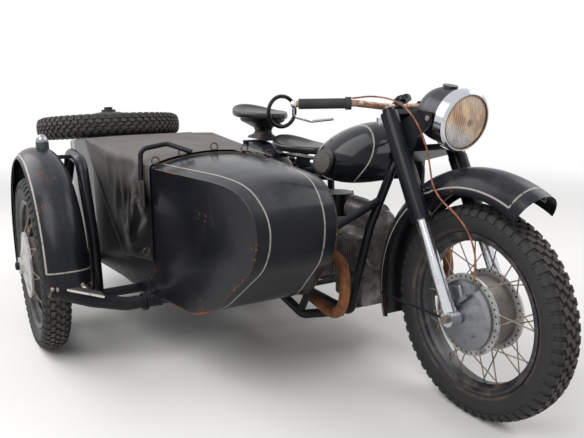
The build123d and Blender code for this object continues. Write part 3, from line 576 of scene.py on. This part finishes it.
# %% Finish of lamps, cable and knee pads
def lamp_finish():
    """Black bucket, chromed ring, and the brass of the bezel showing at its front edge."""
    look = metal("lamp_chrome", (0.56, 0.58, 0.62), amount=0.10, rough=0.07)
    radius, along = look.around(LAMP_CENTRE, LAMP_AXIS)
    ring = along.fade(-0.0465, -0.0455)
    brass = along.fade(-0.0130, -0.0120) * (1 - radius.fade(0.0865, 0.0875))
    colour = ring.mix((0.013, 0.014, 0.019), brass.mix(look.colour(), (0.19, 0.115, 0.07)))
    look.set(Base_Color=colour, Metallic=ring, Roughness=0.34 - 0.25 * ring + 0.22 * brass)
    return look.material


def lens_finish():
    """Fluted amber glass in front of a tarnished reflector, painted as one surface with painted reflections and glints.
    """
    look = Finish("fluted_glass", Coat_Weight=0.6, Coat_Roughness=0.04, Specular_IOR_Level=0.6)
    height = (look.z - LAMP_CENTRE.z) / LENS_RADIUS
    side = (look.y - LAMP_CENTRE.y) / LENS_RADIUS
    flutes = look.node("TexWave", {"bands_direction": "Y"}, Vector=look.place, Scale=44.0, Distortion=1.0)
    glow = look.noise(34.0, 4, 0.6, stretch=(1, 1, 0.45))
    warm = glow.fade(0.36, 0.62).mix((0.30, 0.145, 0.06), (0.66, 0.44, 0.25))
    grey = glow.mix((0.40, 0.40, 0.42), (0.74, 0.74, 0.76))
    # Painted reflection: light reflector grey low down, and lighter beige near the top of the glass.
    lower = (side * -0.5 - height).fade(0.15, 0.75)
    upper = (height + 0.2 * side).fade(0.35, 0.85)
    colour = (lower * 0.85).mix((upper * 0.6).mix(warm, (0.52, 0.42, 0.32)), grey)
    bulb = 1 - ((side * side + height * height) ** 0.5).fade(0.10, 0.17)
    colour = bulb.mix(colour, (0.16, 0.11, 0.08))
    # Painted highlight: light streaks along the flutes.
    colour = (flutes.fade(0.55, 1.0) * 0.35).mix(colour, (0.86, 0.80, 0.72))
    look.set(Base_Color=colour, Metallic=0.35, Roughness=0.20 + 0.1 * glow)
    look.bump(flutes + 1.2 * glow, 0.6, 0.0016)
    return look.material


def marker_finish():
    """Smoky glass dome over a green-black rubber base."""
    look = Finish("marker_glass", Coat_Weight=0.5)
    dome = look.z.fade(0.8205, 0.8215)
    colour = look.noise(60.0, 3).mix((0.12, 0.13, 0.14), (0.42, 0.44, 0.46))
    colour = dome.mix((0.012, 0.028, 0.024), colour)
    look.set(Base_Color=colour, Metallic=0.5 * dome, Roughness=0.45 - 0.3 * dome)
    return look.material


def cable_finish():
    """Perished sheath, copper red with dark smears."""
    look = Finish("cable_sheath")
    smear = look.noise(35.0, 4).fade(0.4, 0.6)
    look.set(Base_Color=smear.mix((0.33, 0.105, 0.05), (0.14, 0.05, 0.03)), Roughness=0.5 + 0.2 * smear)
    look.bump(look.noise(300.0, 2), 0.3, 0.0004)
    return look.material


def pad_finish():
    """Knee pad: a smooth black rim round a worn, ribbed middle."""
    look = rubber("knee_pad_rubber", (0.014, 0.014, 0.015), rough=0.4)
    inside = 1 - look.ellipse(815, 0.745, tilt=0.21, length=0.090, height=0.050).fade(0.74, 0.78)
    worn = look.noise(26.0, 4).mix((0.050, 0.043, 0.037), (0.115, 0.100, 0.088))
    look.set(Base_Color=inside.mix((0.010, 0.010, 0.012), worn), Roughness=0.32 + 0.4 * inside)
    ribs = look.node("TexWave", {"bands_direction": "Z"}, Vector=look.place, Scale=40.0)
    look.bump((ribs - 2.0) * inside, 0.6, 0.0012)
    return look.material


def red_glass():
    look = Finish("red_glass", Coat_Weight=0.6)
    look.set(Base_Color=look.noise(80.0, 3).mix((0.20, 0.010, 0.008), (0.42, 0.03, 0.02)), Roughness=0.18)
    return look.material


# %% [markdown]
# ## Finishes for the CAD nodes
# One table says which finish each CAD node takes. Sheet metal with a pale line gets its own paint, because the line
# depends on the shape of that sheet.

# %% Finishes by node
FRONT_LINES = guard_lines(at(1500, 0, 341), 0.398, 67.5)
REAR_LINES = guard_lines(at(0, 0, 341), 0.366, 26)
SIDE_LINES = guard_lines(at(242, -1108, 341), 0.0, 10, side=at(0, -1108 - 43).y)
FINISHES = {
    BLACK: ("sidecar_body", "mudguard_arch", "trunk_lid", "fork_upper", "frame"),
    WORN_BLACK: ("sidecar_frame", "sidecar_stays", "sidecar_arm", "swing_arms", "centre_stand", "hand_rail",
                 "grab_ring", "shock_absorbers", "intake"),
    CASTING: ("brake_plate", "final_drive"),
    ENGINE_CASTING: ("engine", "gearbox", "cylinders"),
    POLISHED: ("fork_sliders", "filler_cap", "control_levers"),
    STEP_METAL: ("step_plate",),
    BAR_METAL: ("handlebar",),
    BLACK_RUBBER: ("grips", "foot_controls"),
    pad_finish(): ("knee_pads",),
    paint("nose_paint", nose_lines, chips=0.2, gloss=0.17): ("sidecar_nose",),
    paint("front_guard_paint", FRONT_LINES, chips=0.8, gloss=0.22): ("front_mudguard",),
    paint("rear_guard_paint", REAR_LINES): ("rear_mudguard",),
    paint("sidecar_guard_paint", SIDE_LINES, chips=0.9, gloss=0.24): ("sidecar_mudguard",),
    paint("tank_paint", tank_line, chips=0.3, gloss=0.08): ("fuel_tank",),
    lamp_finish(): ("headlamp",),
    lens_finish(): ("headlamp_lens",),
    marker_finish(): ("marker_lamp",),
    cable_finish(): ("brake_cable",),
    red_glass(): ("tail_lamp",),
}
for finish, names in FINISHES.items():
    for name in names:
        dress(nodes[name], finish)
print(sum(len(names) for names in FINISHES.values()), "nodes finished")

# %% [markdown]
# ## Tyres
# A cross-country tyre has a round carcass and blocks: two staggered rows in the middle and stepped lugs down each
# shoulder. The carcass is a ring of points spun about the axle. One pitch of blocks is made from bevelled boxes and
# then spun round as copies.

# %% Carcass and tread
SECTION = (
    # radius, half width in millimetres, from the bead to the crown
    (244.5, 33.4), (258, 35), (263, 39.5), (270, 43.5), (284, 47.6), (300, 48.6), (314, 46.6), (325, 41.5),
    (331, 33), (333.5, 20), (334.5, 0),
)
PITCHES = 58
BLOCKS = (
    # radius, side, share of the pitch ahead, length round, width, height, lean outwards, turn, all in mm and degrees;
    # a block beside the middle has its mirror image on the other side
    (336.6, 0, 0.50, 24, 12, 8.6, 0, 24),
    (335.4, 17, 0.00, 25, 15, 8.8, 10, -16),
    (330.8, 33, 0.50, 22, 15, 9.5, 28, 0),
    (319.5, 43.6, 0.50, 22, 22, 8.5, 64, 0),
    (308.5, 47.6, 0.00, 9, 12, 4.0, 80, 0),
)


def block(hand, radius, side, share, length, width, height, lean, turn):
    """One block of the tread. A hand of -1 gives its mirror image."""
    bpy.ops.mesh.primitive_cube_add(size=1)
    piece = fresh("block")
    size = Matrix.Diagonal((height / 1000, length / 1000, width / 1000, 1))
    leaning = Matrix.Rotation(radians(-lean * hand), 4, "Y") @ Matrix.Rotation(radians(turn * hand), 4, "X")
    out = Matrix.Translation((radius / 1000, 0, side * hand / 1000))
    piece.matrix_world = Matrix.Rotation(share * 2 * pi / PITCHES, 4, "Z") @ out @ leaning @ size
    fix_place(piece)
    modify(piece, "BEVEL", width=0.0011, segments=1)
    return piece


def tread():
    """One pitch of tread blocks, copied round the tyre."""
    piece = join([block(hand, *row) for row in BLOCKS for hand in ((1, -1) if row[1] else (1,))], "tread")
    edit(piece)
    bpy.ops.mesh.spin(steps=PITCHES - 1, angle=2 * pi * (PITCHES - 1) / PITCHES, dupli=True, center=(0, 0, 0),
                      axis=(0, 0, 1))
    close_outward(piece)
    return piece


ring = list(SECTION) + [(radius, -height) for radius, height in reversed(SECTION[:-1])]
pattern = join([lathe(ring, "carcass", 120, 60, closed=True), tread()], "tyre_pattern")
print("tyre", len(pattern.data.polygons), "faces")

# %% [markdown]
# The finished tyre is copied to each wheel with its own mesh, and the pattern is removed. The spare lies on the trunk
# lid and rides on it.

# %% Tyres in place
for name, (body, centre, axis) in WHEELS.items():
    piece = pattern.copy()
    piece.data = pattern.data.copy()
    bpy.context.scene.collection.objects.link(piece)
    piece.name = piece.data.name = name + "_tyre_detail"
    piece.matrix_world = Matrix.Translation(centre) @ axis.to_track_quat("Z", "Y").to_matrix().to_4x4()
    settle(piece, body, tyre_rubber(name), "tyre_rubber", name + "_tyre")
bpy.data.objects.remove(pattern)

# %% [markdown]
# ## Canvas over the cockpit
# The canvas is buttoned along the cowl and hangs down the cut-away side, where it narrows to its hem. It is a grid
# whose rows follow the arch from the inner edge to the outer one and then go down the side. A table of folds pushes it
# out, most of all near the buttons that pull at it.

# %% Canvas
ACROSS, ALONG = 88, 72
TOP_SHARE = 0.56  # how much of the width lies on top
COWL_EDGE, REAR_EDGE = 664, 20
FOLDS = (
    # along, across, length, width, height in mm, turn in degrees; along runs aft, across runs outwards and down
    (0.20, 0.72, 0.20, 0.026, 17, 62),
    (0.10, 0.84, 0.16, 0.022, 14, 28),
    (0.30, 0.82, 0.20, 0.024, 12, 78),
    (0.37, 0.68, 0.16, 0.022, 13, 98),
    (0.47, 0.74, 0.15, 0.026, 11, 74),
    (0.58, 0.66, 0.10, 0.022, 9, 88),
    (0.14, 0.64, 0.12, 0.020, 10, 118),
    (0.06, 0.72, 0.10, 0.018, 9, 50),
    (0.26, 0.94, 0.10, 0.020, 8, 20),
    (0.16, 0.50, 0.24, 0.024, 6, 20),
    (0.55, 0.28, 0.40, 0.040, 5, 12),
    (0.32, 0.40, 0.30, 0.030, 6, 150),
    (0.78, 0.46, 0.22, 0.026, 7, 80),
    (0.70, 0.10, 0.30, 0.030, 5, 22),
    (0.93, 0.30, 0.012, 0.600, 7, 0),
    (0.83, 0.40, 0.300, 0.011, 6, 90),
    (0.33, 0.90, 0.14, 0.024, 12, 130),
    (0.12, 0.75, 0.09, 0.030, 16, 140),
    (0.52, 0.60, 0.34, 0.030, 8, 8),
    (0.22, 0.66, 0.10, 0.020, 12, 20),
)


def between(value, table):
    """Value read from a table of pairs, on straight lines between them."""
    for (x0, y0), (x1, y1) in zip(table, table[1:]):
        if x0 <= value <= x1:
            return y0 + (y1 - y0) * (value - x0) / (x1 - x0)
    return table[-1][1]


TALL_FOLD = 15
# X and the height of the hem, and X and the place of the side
HEM = ((20, 803), (142, 674), (280, 494), (390, 370), (668, 403))
OUTER_SIDE = ((20, -857), (100, -855), (640, -781), (675, -774.5))


def canvas_point(u, v):
    """Point of the canvas: u runs from the cowl aft, v from its inner edge over the top and down the side."""
    x = COWL_EDGE + (REAR_EDGE - COWL_EDGE) * u
    low, high = -779 - 77 * u, -275 + 13 * u
    edge, crown = 758 + 47 * u, 799 + 12 * u
    if v <= TOP_SHARE:
        s = 1 - 2 * v / TOP_SHARE
        sag = 9 * sin(pi * u) * (1 - s * s)
        return Vector((x, (low + high) / 2 + s * (high - low) / 2, edge + (crown - edge) * (1 - s * s) - sag))
    down = (v - TOP_SHARE) / (1 - TOP_SHARE)
    foot = between(x, HEM)
    return Vector((x, between(x, OUTER_SIDE), edge + (foot - edge) * down))


def fold(u, v):
    """How far the folds push the canvas out at a point, in millimetres."""
    total = 0
    for along, across, length, width, height, turn in FOLDS:
        angle = radians(turn)
        du, dv = u - along, v - across
        a = (du * cos(angle) + dv * sin(angle)) / length
        b = (dv * cos(angle) - du * sin(angle)) / width
        b *= 1.5 if b > 0 else 0.8
        total += height * exp(-a * a * 2 - b * b)
    free = min(1, 14 * u, 14 * (1 - u), 14 * v, 14 * (1 - v))
    hem = 2.5 if v > 0.965 or u < 0.02 and v > TOP_SHARE else 0
    return total * free + hem


def canvas():
    bpy.ops.mesh.primitive_grid_add(x_subdivisions=ALONG, y_subdivisions=ACROSS, size=2)
    piece = fresh("cockpit_canvas")
    mesh = edit(piece)
    heights = []
    for vertex in mesh.verts:
        u, v = (vertex.co.x + 1) / 2, (vertex.co.y + 1) / 2
        point = canvas_point(u, v)
        out = Vector((0, 0, 1)) if v < TOP_SHARE else Vector((0, -1, 0.1))
        heights.append(fold(u, v))
        vertex.co = at(*(point + out * heights[-1]))
    bpy.ops.mesh.vertices_smooth(factor=0.5, repeat=3)
    close_outward(piece)
    area = sum(face.area for face in piece.data.polygons)
    # Fold heights, kept for the painted highlights on the ridges in the canvas's finish.
    ridge = piece.data.attributes.new("ridge", "FLOAT", "POINT")
    for k, height in enumerate(heights):
        ridge.data[k].value = height / TALL_FOLD
    modify(piece, "SOLIDIFY", thickness=0.0022, offset=0)
    modify(piece, "SUBSURF", levels=1, render_levels=1)
    smooth(piece, 180)
    return piece, area


def canvas_finish():
    """Waxed cotton: light on top, partly sun-bleached and partly painted light; painted highlights on the worn fold
    ridges; nearly black on the side, partly painted shade.
    """
    look = Finish("waxed_canvas", Specular_IOR_Level=0.20)
    rubbed_and_highlit = look.node("Attribute", {"attribute_name": "ridge"}, output=2).fade(0.30, 1.0)
    clouds = look.noise(6.0, 6, 0.7)
    # Painted light: the top and the rounded shoulder above the side are lighter, partly sun-bleached cloth and partly
    # painted light; the hanging side stays dark as painted shade.
    lit_shoulder = (look.z + 0.06 * clouds).fade(0.655, 0.765) * 0.62
    faded_and_sunlit = look.upward() * (1 - lit_shoulder) + lit_shoulder
    colour = faded_and_sunlit.mix((0.0050, 0.0050, 0.0058), (0.140, 0.128, 0.120))
    colour = (clouds.fade(0.40, 0.70) * (0.06 + 0.34 * faded_and_sunlit)).mix(colour, (0.080, 0.072, 0.068))
    # Painted highlight, partly wear: the fold ridges on the dark side are lightened.
    rubbed_and_highlit = rubbed_and_highlit * look.noise(40.0, 4, 0.7).fade(0.2, 0.6) * (1 - faded_and_sunlit)
    colour = (rubbed_and_highlit * 0.75).mix(colour, (0.135, 0.125, 0.120))
    spots = look.noise(55.0, 4, 0.7).fade(0.66, 0.72) * 0.3
    colour = spots.mix(colour, (0.34, 0.31, 0.28))
    warp = look.node("TexWave", {"bands_direction": "X"}, Vector=look.place, Scale=230.0)
    weft = look.node("TexWave", {"bands_direction": "Y"}, Vector=look.place, Scale=230.0)
    look.set(Base_Color=colour, Roughness=0.22 + 0.32 * faded_and_sunlit + 0.22 * clouds)
    look.bump((warp + weft) * 0.35 + 2.5 * look.noise(22.0, 5, 0.6), 0.45, 0.0012)
    return look.material


cloth, cloth_area = canvas()
settle(cloth, "chassis", canvas_finish(), "canvas", "tonneau_cover")
print("canvas area", round(cloth_area, 4))

# %% [markdown]
# ## Saddles
# Each saddle is a pear-shaped rubber top on springs. It starts as a filled circle, its rim is moved to the pear shape,
# and it is extruded and inset so that the top dips in the middle and the skirt turns under. Its rear end is turned
# up and its sides droop, and subdivision then rounds it.

# %% Saddles
SADDLES = {
    # name: rear, front, rear half width, front half width, underside, top, all in millimetres
    "driver_saddle": (232, 564, 146, 52, 742, 777),
    "pillion_saddle": (-188, 212, 160, 60, 868, 902),
}
SADDLE_STEPS = (
    # inset in millimetres, rise as a share of the height
    (-3, 0.30), (0, 0.45), (4, 0.25), (12, 0.02), (26, -0.22), (30, -0.18),
)
REAR_RISE, FRONT_DROP, SIDE_DROOP = 26, 8, 7


def saddle(name, rear, front, wide, narrow, low, high):
    bpy.ops.mesh.primitive_circle_add(vertices=48, radius=1, fill_type="NGON")
    piece = fresh(name + "_rubber")
    mesh = edit(piece)
    for vertex in mesh.verts:
        across, ahead = vertex.co.y, vertex.co.x
        middle = (rear + wide) + (front - narrow - rear - wide) * (ahead + 1) / 2
        half = wide + (narrow - wide) * ((ahead + 1) / 2) ** 0.9
        vertex.co = at(middle + half * ahead, half * across, low)
    for inset, rise in SADDLE_STEPS:
        rim, centre = extrude(mesh, rise * (high - low) / 1000)
        for vertex in rim:
            flat = (centre - vertex.co) * Vector((1, 1, 0))
            vertex.co += flat.normalized() * inset / 1000
    for vertex in mesh.verts:
        share = (vertex.co.x - at((rear + front) / 2).x) * 2000 / (front - rear)
        side = (vertex.co.y - at(0).y) * 1000 / wide
        rise = REAR_RISE if share < 0 else -FRONT_DROP
        vertex.co.z += (rise * share * share - SIDE_DROOP * side * side) / 1000
    close_outward(piece)
    modify(piece, "SUBSURF", levels=2, render_levels=2)
    smooth(piece, 180)
    settle(piece, "chassis", SADDLE_RUBBER, "soft_rubber", name)


for name, sizes in SADDLES.items():
    saddle(name, *sizes)

# %% [markdown]
# The saddles stand on plates and springs. The pillion's is a waisted rubber block between two plates, made like the
# saddle: a rounded outline is extruded level by level, each with its own length and width.

# %% Saddle brackets
BRACKET_PLATES = (
    # centre, size, in millimetres
    ((400, 0, 716), (230, 60, 8)), ((420, 0, 694), (40, 50, 40)), ((27, 0, 764), (176, 40, 8)),
    ((100, 0, 764), (30, 276, 8)), ((100, -127.5, 716), (30, 18, 96)), ((100, 127.5, 716), (30, 18, 96)),
)
BLOCK_LEVELS = (
    # height, rear end, front end, half width
    (768, -62, 112, 56), (776, -58, 106, 52), (788, -20, 84, 36), (804, -10, 78, 32), (820, -18, 84, 38),
    (838, -62, 112, 66), (850, -84, 134, 86), (862, -88, 138, 90), (869, -84, 132, 86),
)


def block_corner(angle, level):
    """Point of a rounded rectangle at a level."""
    height, rear, front, half = level
    along, across = (abs(f) ** 0.5 * (1 if f > 0 else -1) for f in (cos(angle), sin(angle)))
    return at((rear + front) / 2 + along * (front - rear) / 2, across * half, height)


def spread(away, level):
    """Angle that gave a point of the level below, from its place about the middle."""
    _, rear, front, half = level
    along, across = away.x * 2000 / (front - rear), away.y * 1000 / half
    return atan2(across * abs(across), along * abs(along))


def spring_block():
    bpy.ops.mesh.primitive_circle_add(vertices=40, radius=1, fill_type="NGON")
    piece = fresh("spring_block")
    mesh = edit(piece)
    for k, level in enumerate(BLOCK_LEVELS):
        raised, middle = extrude(mesh, 0.001) if k else selected(mesh)
        for vertex in raised:
            away = vertex.co - middle
            vertex.co = block_corner(spread(away, BLOCK_LEVELS[k - 1]) if k else atan2(away.y, away.x), level)
    close_outward(piece)
    smooth(piece, 50)
    return piece


def spring(side):
    """Coil spring under the driver's saddle."""
    turns = [(300 + 17 * cos(a / 8 * pi), side * 80 + 17 * sin(a / 8 * pi), 709 + a * 0.26) for a in range(73)]
    return strand([at(*point) for point in turns], "spring", 0.003)


parts = [spring_block(), spring(-1), spring(1)]
parts += [slab("bracket_plate", place, size) for place, size in BRACKET_PLATES]
bar = rod("cross_bar", at(300, 0, 712), (pi / 2, 0, 0), radius=0.010, depth=0.184, bevel=0.001)
fix_place(bar)
settle(join(parts + [bar], "saddle_supports"), "chassis", WORN_BLACK, "black_paint", "saddle_brackets")

# %% [markdown]
# ## Nose of the sidecar
# The CAD nose has the right outline, but a sharp edge where its front meets the arch of the cowl. This piece stands for
# it: a fine grid is laid round the same outline, its top is held down under the arch with a soft bend, and both flanks
# are filled. A raised welt runs along each flank, where its edge is rolled over the wrapping sheet.

# %% Outline of the nose
def arc(start, middle, end, count):
    """Points on the circle through three points, without the last one. Complex numbers hold the points."""
    first, second, third = (complex(*point) for point in (start, middle, end))
    ratio = (third - first) / (second - first)
    centre = first + (second - first) * (ratio - abs(ratio) ** 2) / (2j * ratio.imag)
    turn = 2 * phase((third - second) / (second - first))  # twice the angle between the two chords
    points = [centre + (first - centre) * rect(1, turn * k / count) for k in range(count)]
    return [(point.real, point.imag) for point in points]


def run(start, end, count):
    """Points on a straight line, without the last one."""
    (ax, ay), (bx, by) = start, end
    return [(ax + (bx - ax) * k / count, ay + (by - ay) * k / count) for k in range(count)]


NOSE_STEPS = (
    # end of the step, point on the way if it is an arc, number of points
    ((990, 792), None, 14), ((1235.8, 690.2), (1123, 765.5), 18), ((1269, 610), (1260.4, 653.4), 8),
    ((1206.3, 473), (1252.6, 534.7), 12), ((1072.1, 357.2), None, 8), ((843, 272), (965.2, 294), 14),
    ((640, 272), None, 6),
)
NOSE_OUTLINE, here = [], (640, 796)
for end, middle, count in NOSE_STEPS:
    NOSE_OUTLINE += arc(here, middle, end, count) if middle else run(here, end, count)
    here = end
NOSE_OUTLINE.append(here)
NOSE_MIDDLE, NOSE_HALF = -525.5, 250.5  # half the width at its rear edge
ARCH_REAR, ARCH_FRONT = (620, 777, 12), (1280, 333.4, 439.6)  # station, radius, height of the centre


def arch(x, across):
    """Height of the cowl's arch at a station and a distance from its middle."""
    share = (x - ARCH_REAR[0]) / (ARCH_FRONT[0] - ARCH_REAR[0])
    _, radius, height = (rear + (front - rear) * share for rear, front in zip(ARCH_REAR, ARCH_FRONT))
    return height + (radius ** 2 - across ** 2) ** 0.5


def nose_point(x, z, share):
    """Point of the wrap, at a share of the width from the outer flank, just inside the CAD surface."""
    across = (2 * share - 1) * (NOSE_HALF - (x - 640) * NOSE_TAPER)
    roof = arch(x, across)
    blend = 14 + 40 * min(1, max(0, (x - 880) / 180))
    near = max(0, 1 - abs(roof - z) / blend)
    return at(x, NOSE_MIDDLE + across, min(z, roof) - near * near * blend / 4)


# %% Smooth nose
def nose():
    rows, columns = len(NOSE_OUTLINE), 29
    bpy.ops.mesh.primitive_grid_add(x_subdivisions=rows - 1, y_subdivisions=columns - 1, size=2)
    piece = fresh("nose_skin")
    mesh = edit(piece)
    for vertex in mesh.verts:
        row, column = round((vertex.co.x + 1) / 2 * (rows - 1)), (vertex.co.y + 1) / 2
        vertex.co = nose_point(*NOSE_OUTLINE[row], column)
    for side in (0, 1):
        edge = [nose_point(x, z, side) for x, z in NOSE_OUTLINE]
        bpy.ops.mesh.select_all(action="DESELECT")
        for vertex in mesh.verts:
            vertex.select_set(min((vertex.co - point).length for point in edge) < 0.0001)
        mesh.select_flush(True)
        bpy.ops.mesh.edge_face_add()
    close_outward(piece)
    modify(piece, "SOLIDIFY", thickness=0.0025, offset=-1)
    smooth(piece, 30)
    return piece


settle(nose(), "chassis", nodes["sidecar_nose"].data.materials[0], "black_paint", "sidecar_nose")

# %% Welts on its edges
for side, name in enumerate(("outer_welt", "inner_welt")):
    points = [nose_point(x, z, side) for x, z in NOSE_OUTLINE if x > 676 or z > 600 and x > 668]
    settle(strand(points, name, 0.0030), "chassis", EDGE_PAINT, "black_paint")

# %% [markdown]
# ## Exhausts
# In the CAD model each header turns in short bends. The real one was bent from one pipe in a sweep, so this piece
# stands for it: a smooth curve with a round section for the pipe, a spun profile for the silencer with the beads of
# its seams, and a nut at the port. The left one is the mirror image of the right.

# %% Header pipes and silencers
HEADER = (
    (1003, -235, 440), (1030, -235, 441), (1072, -237, 437), (1102, -240, 400), (1112, -242, 336), (1100, -242, 272),
    (1058, -240, 230), (1000, -234, 219), (920, -220, 221), (760, -203, 227), (600, -197, 233), (428, -205, 240),
)
SILENCER = (
    # radius, distance from its front end
    (20.5, -14), (21, 0), (30, 24), (43, 70), (45, 74), (43, 79), (43, 350), (44.5, 354), (43, 358), (43, 632),
    (45, 637), (42, 642), (34, 700), (26, 762), (16, 762), (16, 702), (0, 700),
)
SILENCER_START, SILENCER_END = Vector((430, -205, 240)), Vector((-330, -205, 292))


def silencer():
    piece = lathe(SILENCER, "silencer", 48, 35)
    piece.location = at(*SILENCER_START)
    piece.rotation_euler = turned(SILENCER_END - SILENCER_START)
    return piece


def exhaust(name):
    pipe = strand([at(*point) for point in HEADER], "header", 0.020, 6, "NURBS")
    nut = rod("union_nut", at(1009.9, -235, 440), (0, pi / 2, 0), radius=0.027, depth=0.013)
    return join([silencer(), pipe, nut], name)


right, left = exhaust("exhaust_right"), exhaust("exhaust_left")
for piece in (right, left):
    fix_place(piece)
edit(left)
bpy.ops.transform.mirror(orient_type="GLOBAL", constraint_axis=(False, True, False), center_override=at(0))
bpy.ops.mesh.flip_normals()
close(left)
settle(join([right, left], "exhaust_pipes"), "chassis", RUSTED, "rusty_steel", "exhausts")

# %% [markdown]
# ## Fixings
# Bolts and nuts are small hexagons with bevelled edges, and rivets are domes. Each row of a table is one piece: the
# heads of one kind on one body, with their direction, size and places.

# %% Fixings
def hexagon(point, axis, radius, height):
    return rod("hexagon", at(*point), turned(axis), radius / 1000, height / 1000, vertices=6, bevel=radius / 9000)


def rivet(point, axis, radius, height):
    bpy.ops.mesh.primitive_uv_sphere_add(segments=16, ring_count=8, radius=radius / 1000, location=at(*point),
                                         rotation=turned(axis))
    head = fresh("rivet")
    head.scale = (1, 1, height / radius)
    return head


def both(x, y, z):
    """A place on each side of the middle."""
    return [(x, -y, z), (x, y, z)]


FIXING_TABLE = (
    # piece, body, maker, axis, radius, height, places
    ("ear_bolts", "steering", hexagon, (0, 1, 0), 9, 8, both(1337, 103.5, 937.6)),
    ("axle_nuts", "steering", hexagon, (0, 1, 0), 14, 12, both(1500, 145, 341)),
    ("pinch_bolts", "steering", hexagon, (0, 1, 0), 6, 14, both(1478, 140, 361)),
    ("yoke_caps", "steering", hexagon, tuple(UP_FORK), 15, 12,
     both(1500 - sin(RAKE) * 706, 118, 341 + cos(RAKE) * 706)),
    ("plate_bolts", "steering", hexagon, (0, -1, 0), 6, 8, [(1553, -79, 293), (1443, -78, 395), (1560, -72, 400)]),
    ("tail_bolts", "chassis", hexagon, (0, 1, 0), 9, 9, both(0, 174, 341)),
    ("step_bolts", "chassis", hexagon, (0, -1, 0), 8, 8, [(690, -1124, 366), (640, -1124, 366)]),
    ("engine_bolts", "chassis", hexagon, (1, 0, 0), 7, 7,
     [(1014, 74 * cos(radians(a)), 430 + 74 * sin(radians(a))) for a in range(-150, -20, 40)]
     + both(1014, 70, 452) + both(1014, 47, 524)),
    ("body_rivets", "chassis", rivet, (0, -1, 0), 4.5, 3.0,
     [(x, -850.5, 300) for x in (-200, -60, 60)]
     + [(x, -776.3 + (x - 640) * -0.137, 300) for x in (300, 420, 540)]),
    ("guard_bolts", "chassis", rivet, (1, 0, 0.05), 7, 4,
     [(242 + 452, -1108 + offset, 370) for offset in (-32, 20, 66)]),
)
for name, body, maker, axis, radius, height, places in FIXING_TABLE:
    heads = [maker(place, axis, radius, height) for place in places]
    for head in heads:
        fix_place(head)
    settle(join(heads, name), body, FIXINGS, "polished_steel")

# %% [markdown]
# The marker lamp's glass is a ball, cut off where it meets its base and drawn up a little.

# %% Marker lamp's dome
bpy.ops.mesh.primitive_uv_sphere_add(segments=32, ring_count=16, radius=0.0225, location=at(255, -1068, 823))
dome = fresh("marker_dome")
dome.scale = (1, 1, 1.2)
edit(dome)
bpy.ops.mesh.bisect(plane_co=at(255, -1068, 821), plane_no=(0, 0, 1), clear_inner=True, use_fill=True)
close(dome)
smooth(dome, 50)
settle(dome, "chassis", nodes["marker_lamp"].data.materials[0], "lens_glass")

# %% [markdown]
# The canvas is held by turn buttons: a small plate with a loop that stands up through an eyelet. A steel strip runs
# under them along the cowl, and a plate takes the foot of the hand rail.

# %% Canvas loops
LOOPS = (
    # X, Y, Z, direction that the loop stands out in
    (652, -752, 763, (0, -0.15, 1)), (652, -650, 788, (0, -0.1, 1)), (652, -526, 801, (0, 0, 1)),
    (652, -402, 788, (0, 0.1, 1)), (652, -300, 763, (0, 0.15, 1)), (622, -805, 634, (0, -1, 0)),
    (640, -788, 440, (0, -1, 0)),
)


def loop(point, axis):
    bpy.ops.mesh.primitive_torus_add(major_radius=0.0135, minor_radius=0.0026, major_segments=24, minor_segments=8,
                                     location=at(*point) + Vector(axis).normalized() * 0.009,
                                     rotation=Vector(axis).to_track_quat("Y", "X").to_euler())
    ring = fresh("ring")
    plate = rod("plate", at(*point), turned(axis), radius=0.017, depth=0.003, vertices=20, bevel=0.0008)
    plate.scale = (1.0, 0.75, 1)
    for part in (ring, plate):
        fix_place(part)
    return [ring, plate]


rings = [part for x, y, z, axis in LOOPS for part in loop((x, y, z), axis)]
plate = slab("rail_plate", (622, -800, 655), (58, 8, 96))
strip_line = [at(657, NOSE_MIDDLE - 0.5 + y, arch(657, y) - 1) for y in range(-244, 245, 8)]
edge_strip = strand(strip_line, "edge_strip", 0.0055)
fixings = join(rings + [plate, edge_strip], "canvas_loops")
smooth(fixings, 50)
settle(fixings, "chassis", DARK_FIXINGS, "rusty_steel")

# %% [markdown]
# ## Light and floor
# Plain soft light: a large lamp above and two from the sides, on a pale floor. The white behind is for what the camera
# and reflections see, and not more light on the object: the world shows it, and the floor turns into it far off.

# %% Floor
bpy.ops.mesh.primitive_plane_add(size=60, location=(0, 0, 0))
floor = fresh("floor")
ground = Finish("pale_floor", Roughness=0.85)
ground.set(Base_Color=ground.noise(3.0, 4).mix((0.80, 0.79, 0.775), (0.83, 0.82, 0.81)))
away = ((ground.x * ground.x + ground.y * ground.y) ** 0.5).fade(2.2, 6.5)
looks = ground.node("LightPath", output=0) + ground.node("LightPath", output=3)
white = ground.node("Emission", Color=(1, 1, 1))
output = ground.tree.nodes["Material Output"]
shown = ground.node("MixShader", sockets={0: away * looks, 1: Reading(ground.shader.outputs[0]), 2: white})
feed(output.inputs["Surface"], shown)
floor.data.materials.append(ground.material)

# %% Lamps and world
LAMPS = (
    # place, size, watts
    ((1.6, -2.6, 3.6), 3.0, 130),
    ((-2.5, -2.2, 3.2), 3.0, 90),
    ((0.8, 3.2, 3.4), 3.0, 80),
)
for place, size, power in LAMPS:
    aim = (Vector((0, 0, 0.4)) - Vector(place)).to_track_quat("-Z", "Y").to_euler()
    bpy.ops.object.light_add(type="AREA", location=place, rotation=aim)
    lamp = bpy.context.active_object
    lamp.data.size, lamp.data.energy = size, power

world = bpy.data.worlds.new("studio")
bpy.context.scene.world = world
world.use_nodes = True
sky = world.node_tree
backing = sky.nodes["Background"]
path = sky.nodes.new("ShaderNodeLightPath")
seen = Reading(path.outputs["Is Camera Ray"]) + Reading(path.outputs["Is Glossy Ray"])
seen = seen + Reading(path.outputs["Is Transmission Ray"])
backing.inputs["Color"].default_value = (1, 1, 1, 1)
feed(backing.inputs["Strength"], 0.45 + 0.55 * (seen > 0.5))
bpy.context.scene.view_settings.view_transform = "Standard"
print("lamps", len(LAMPS))
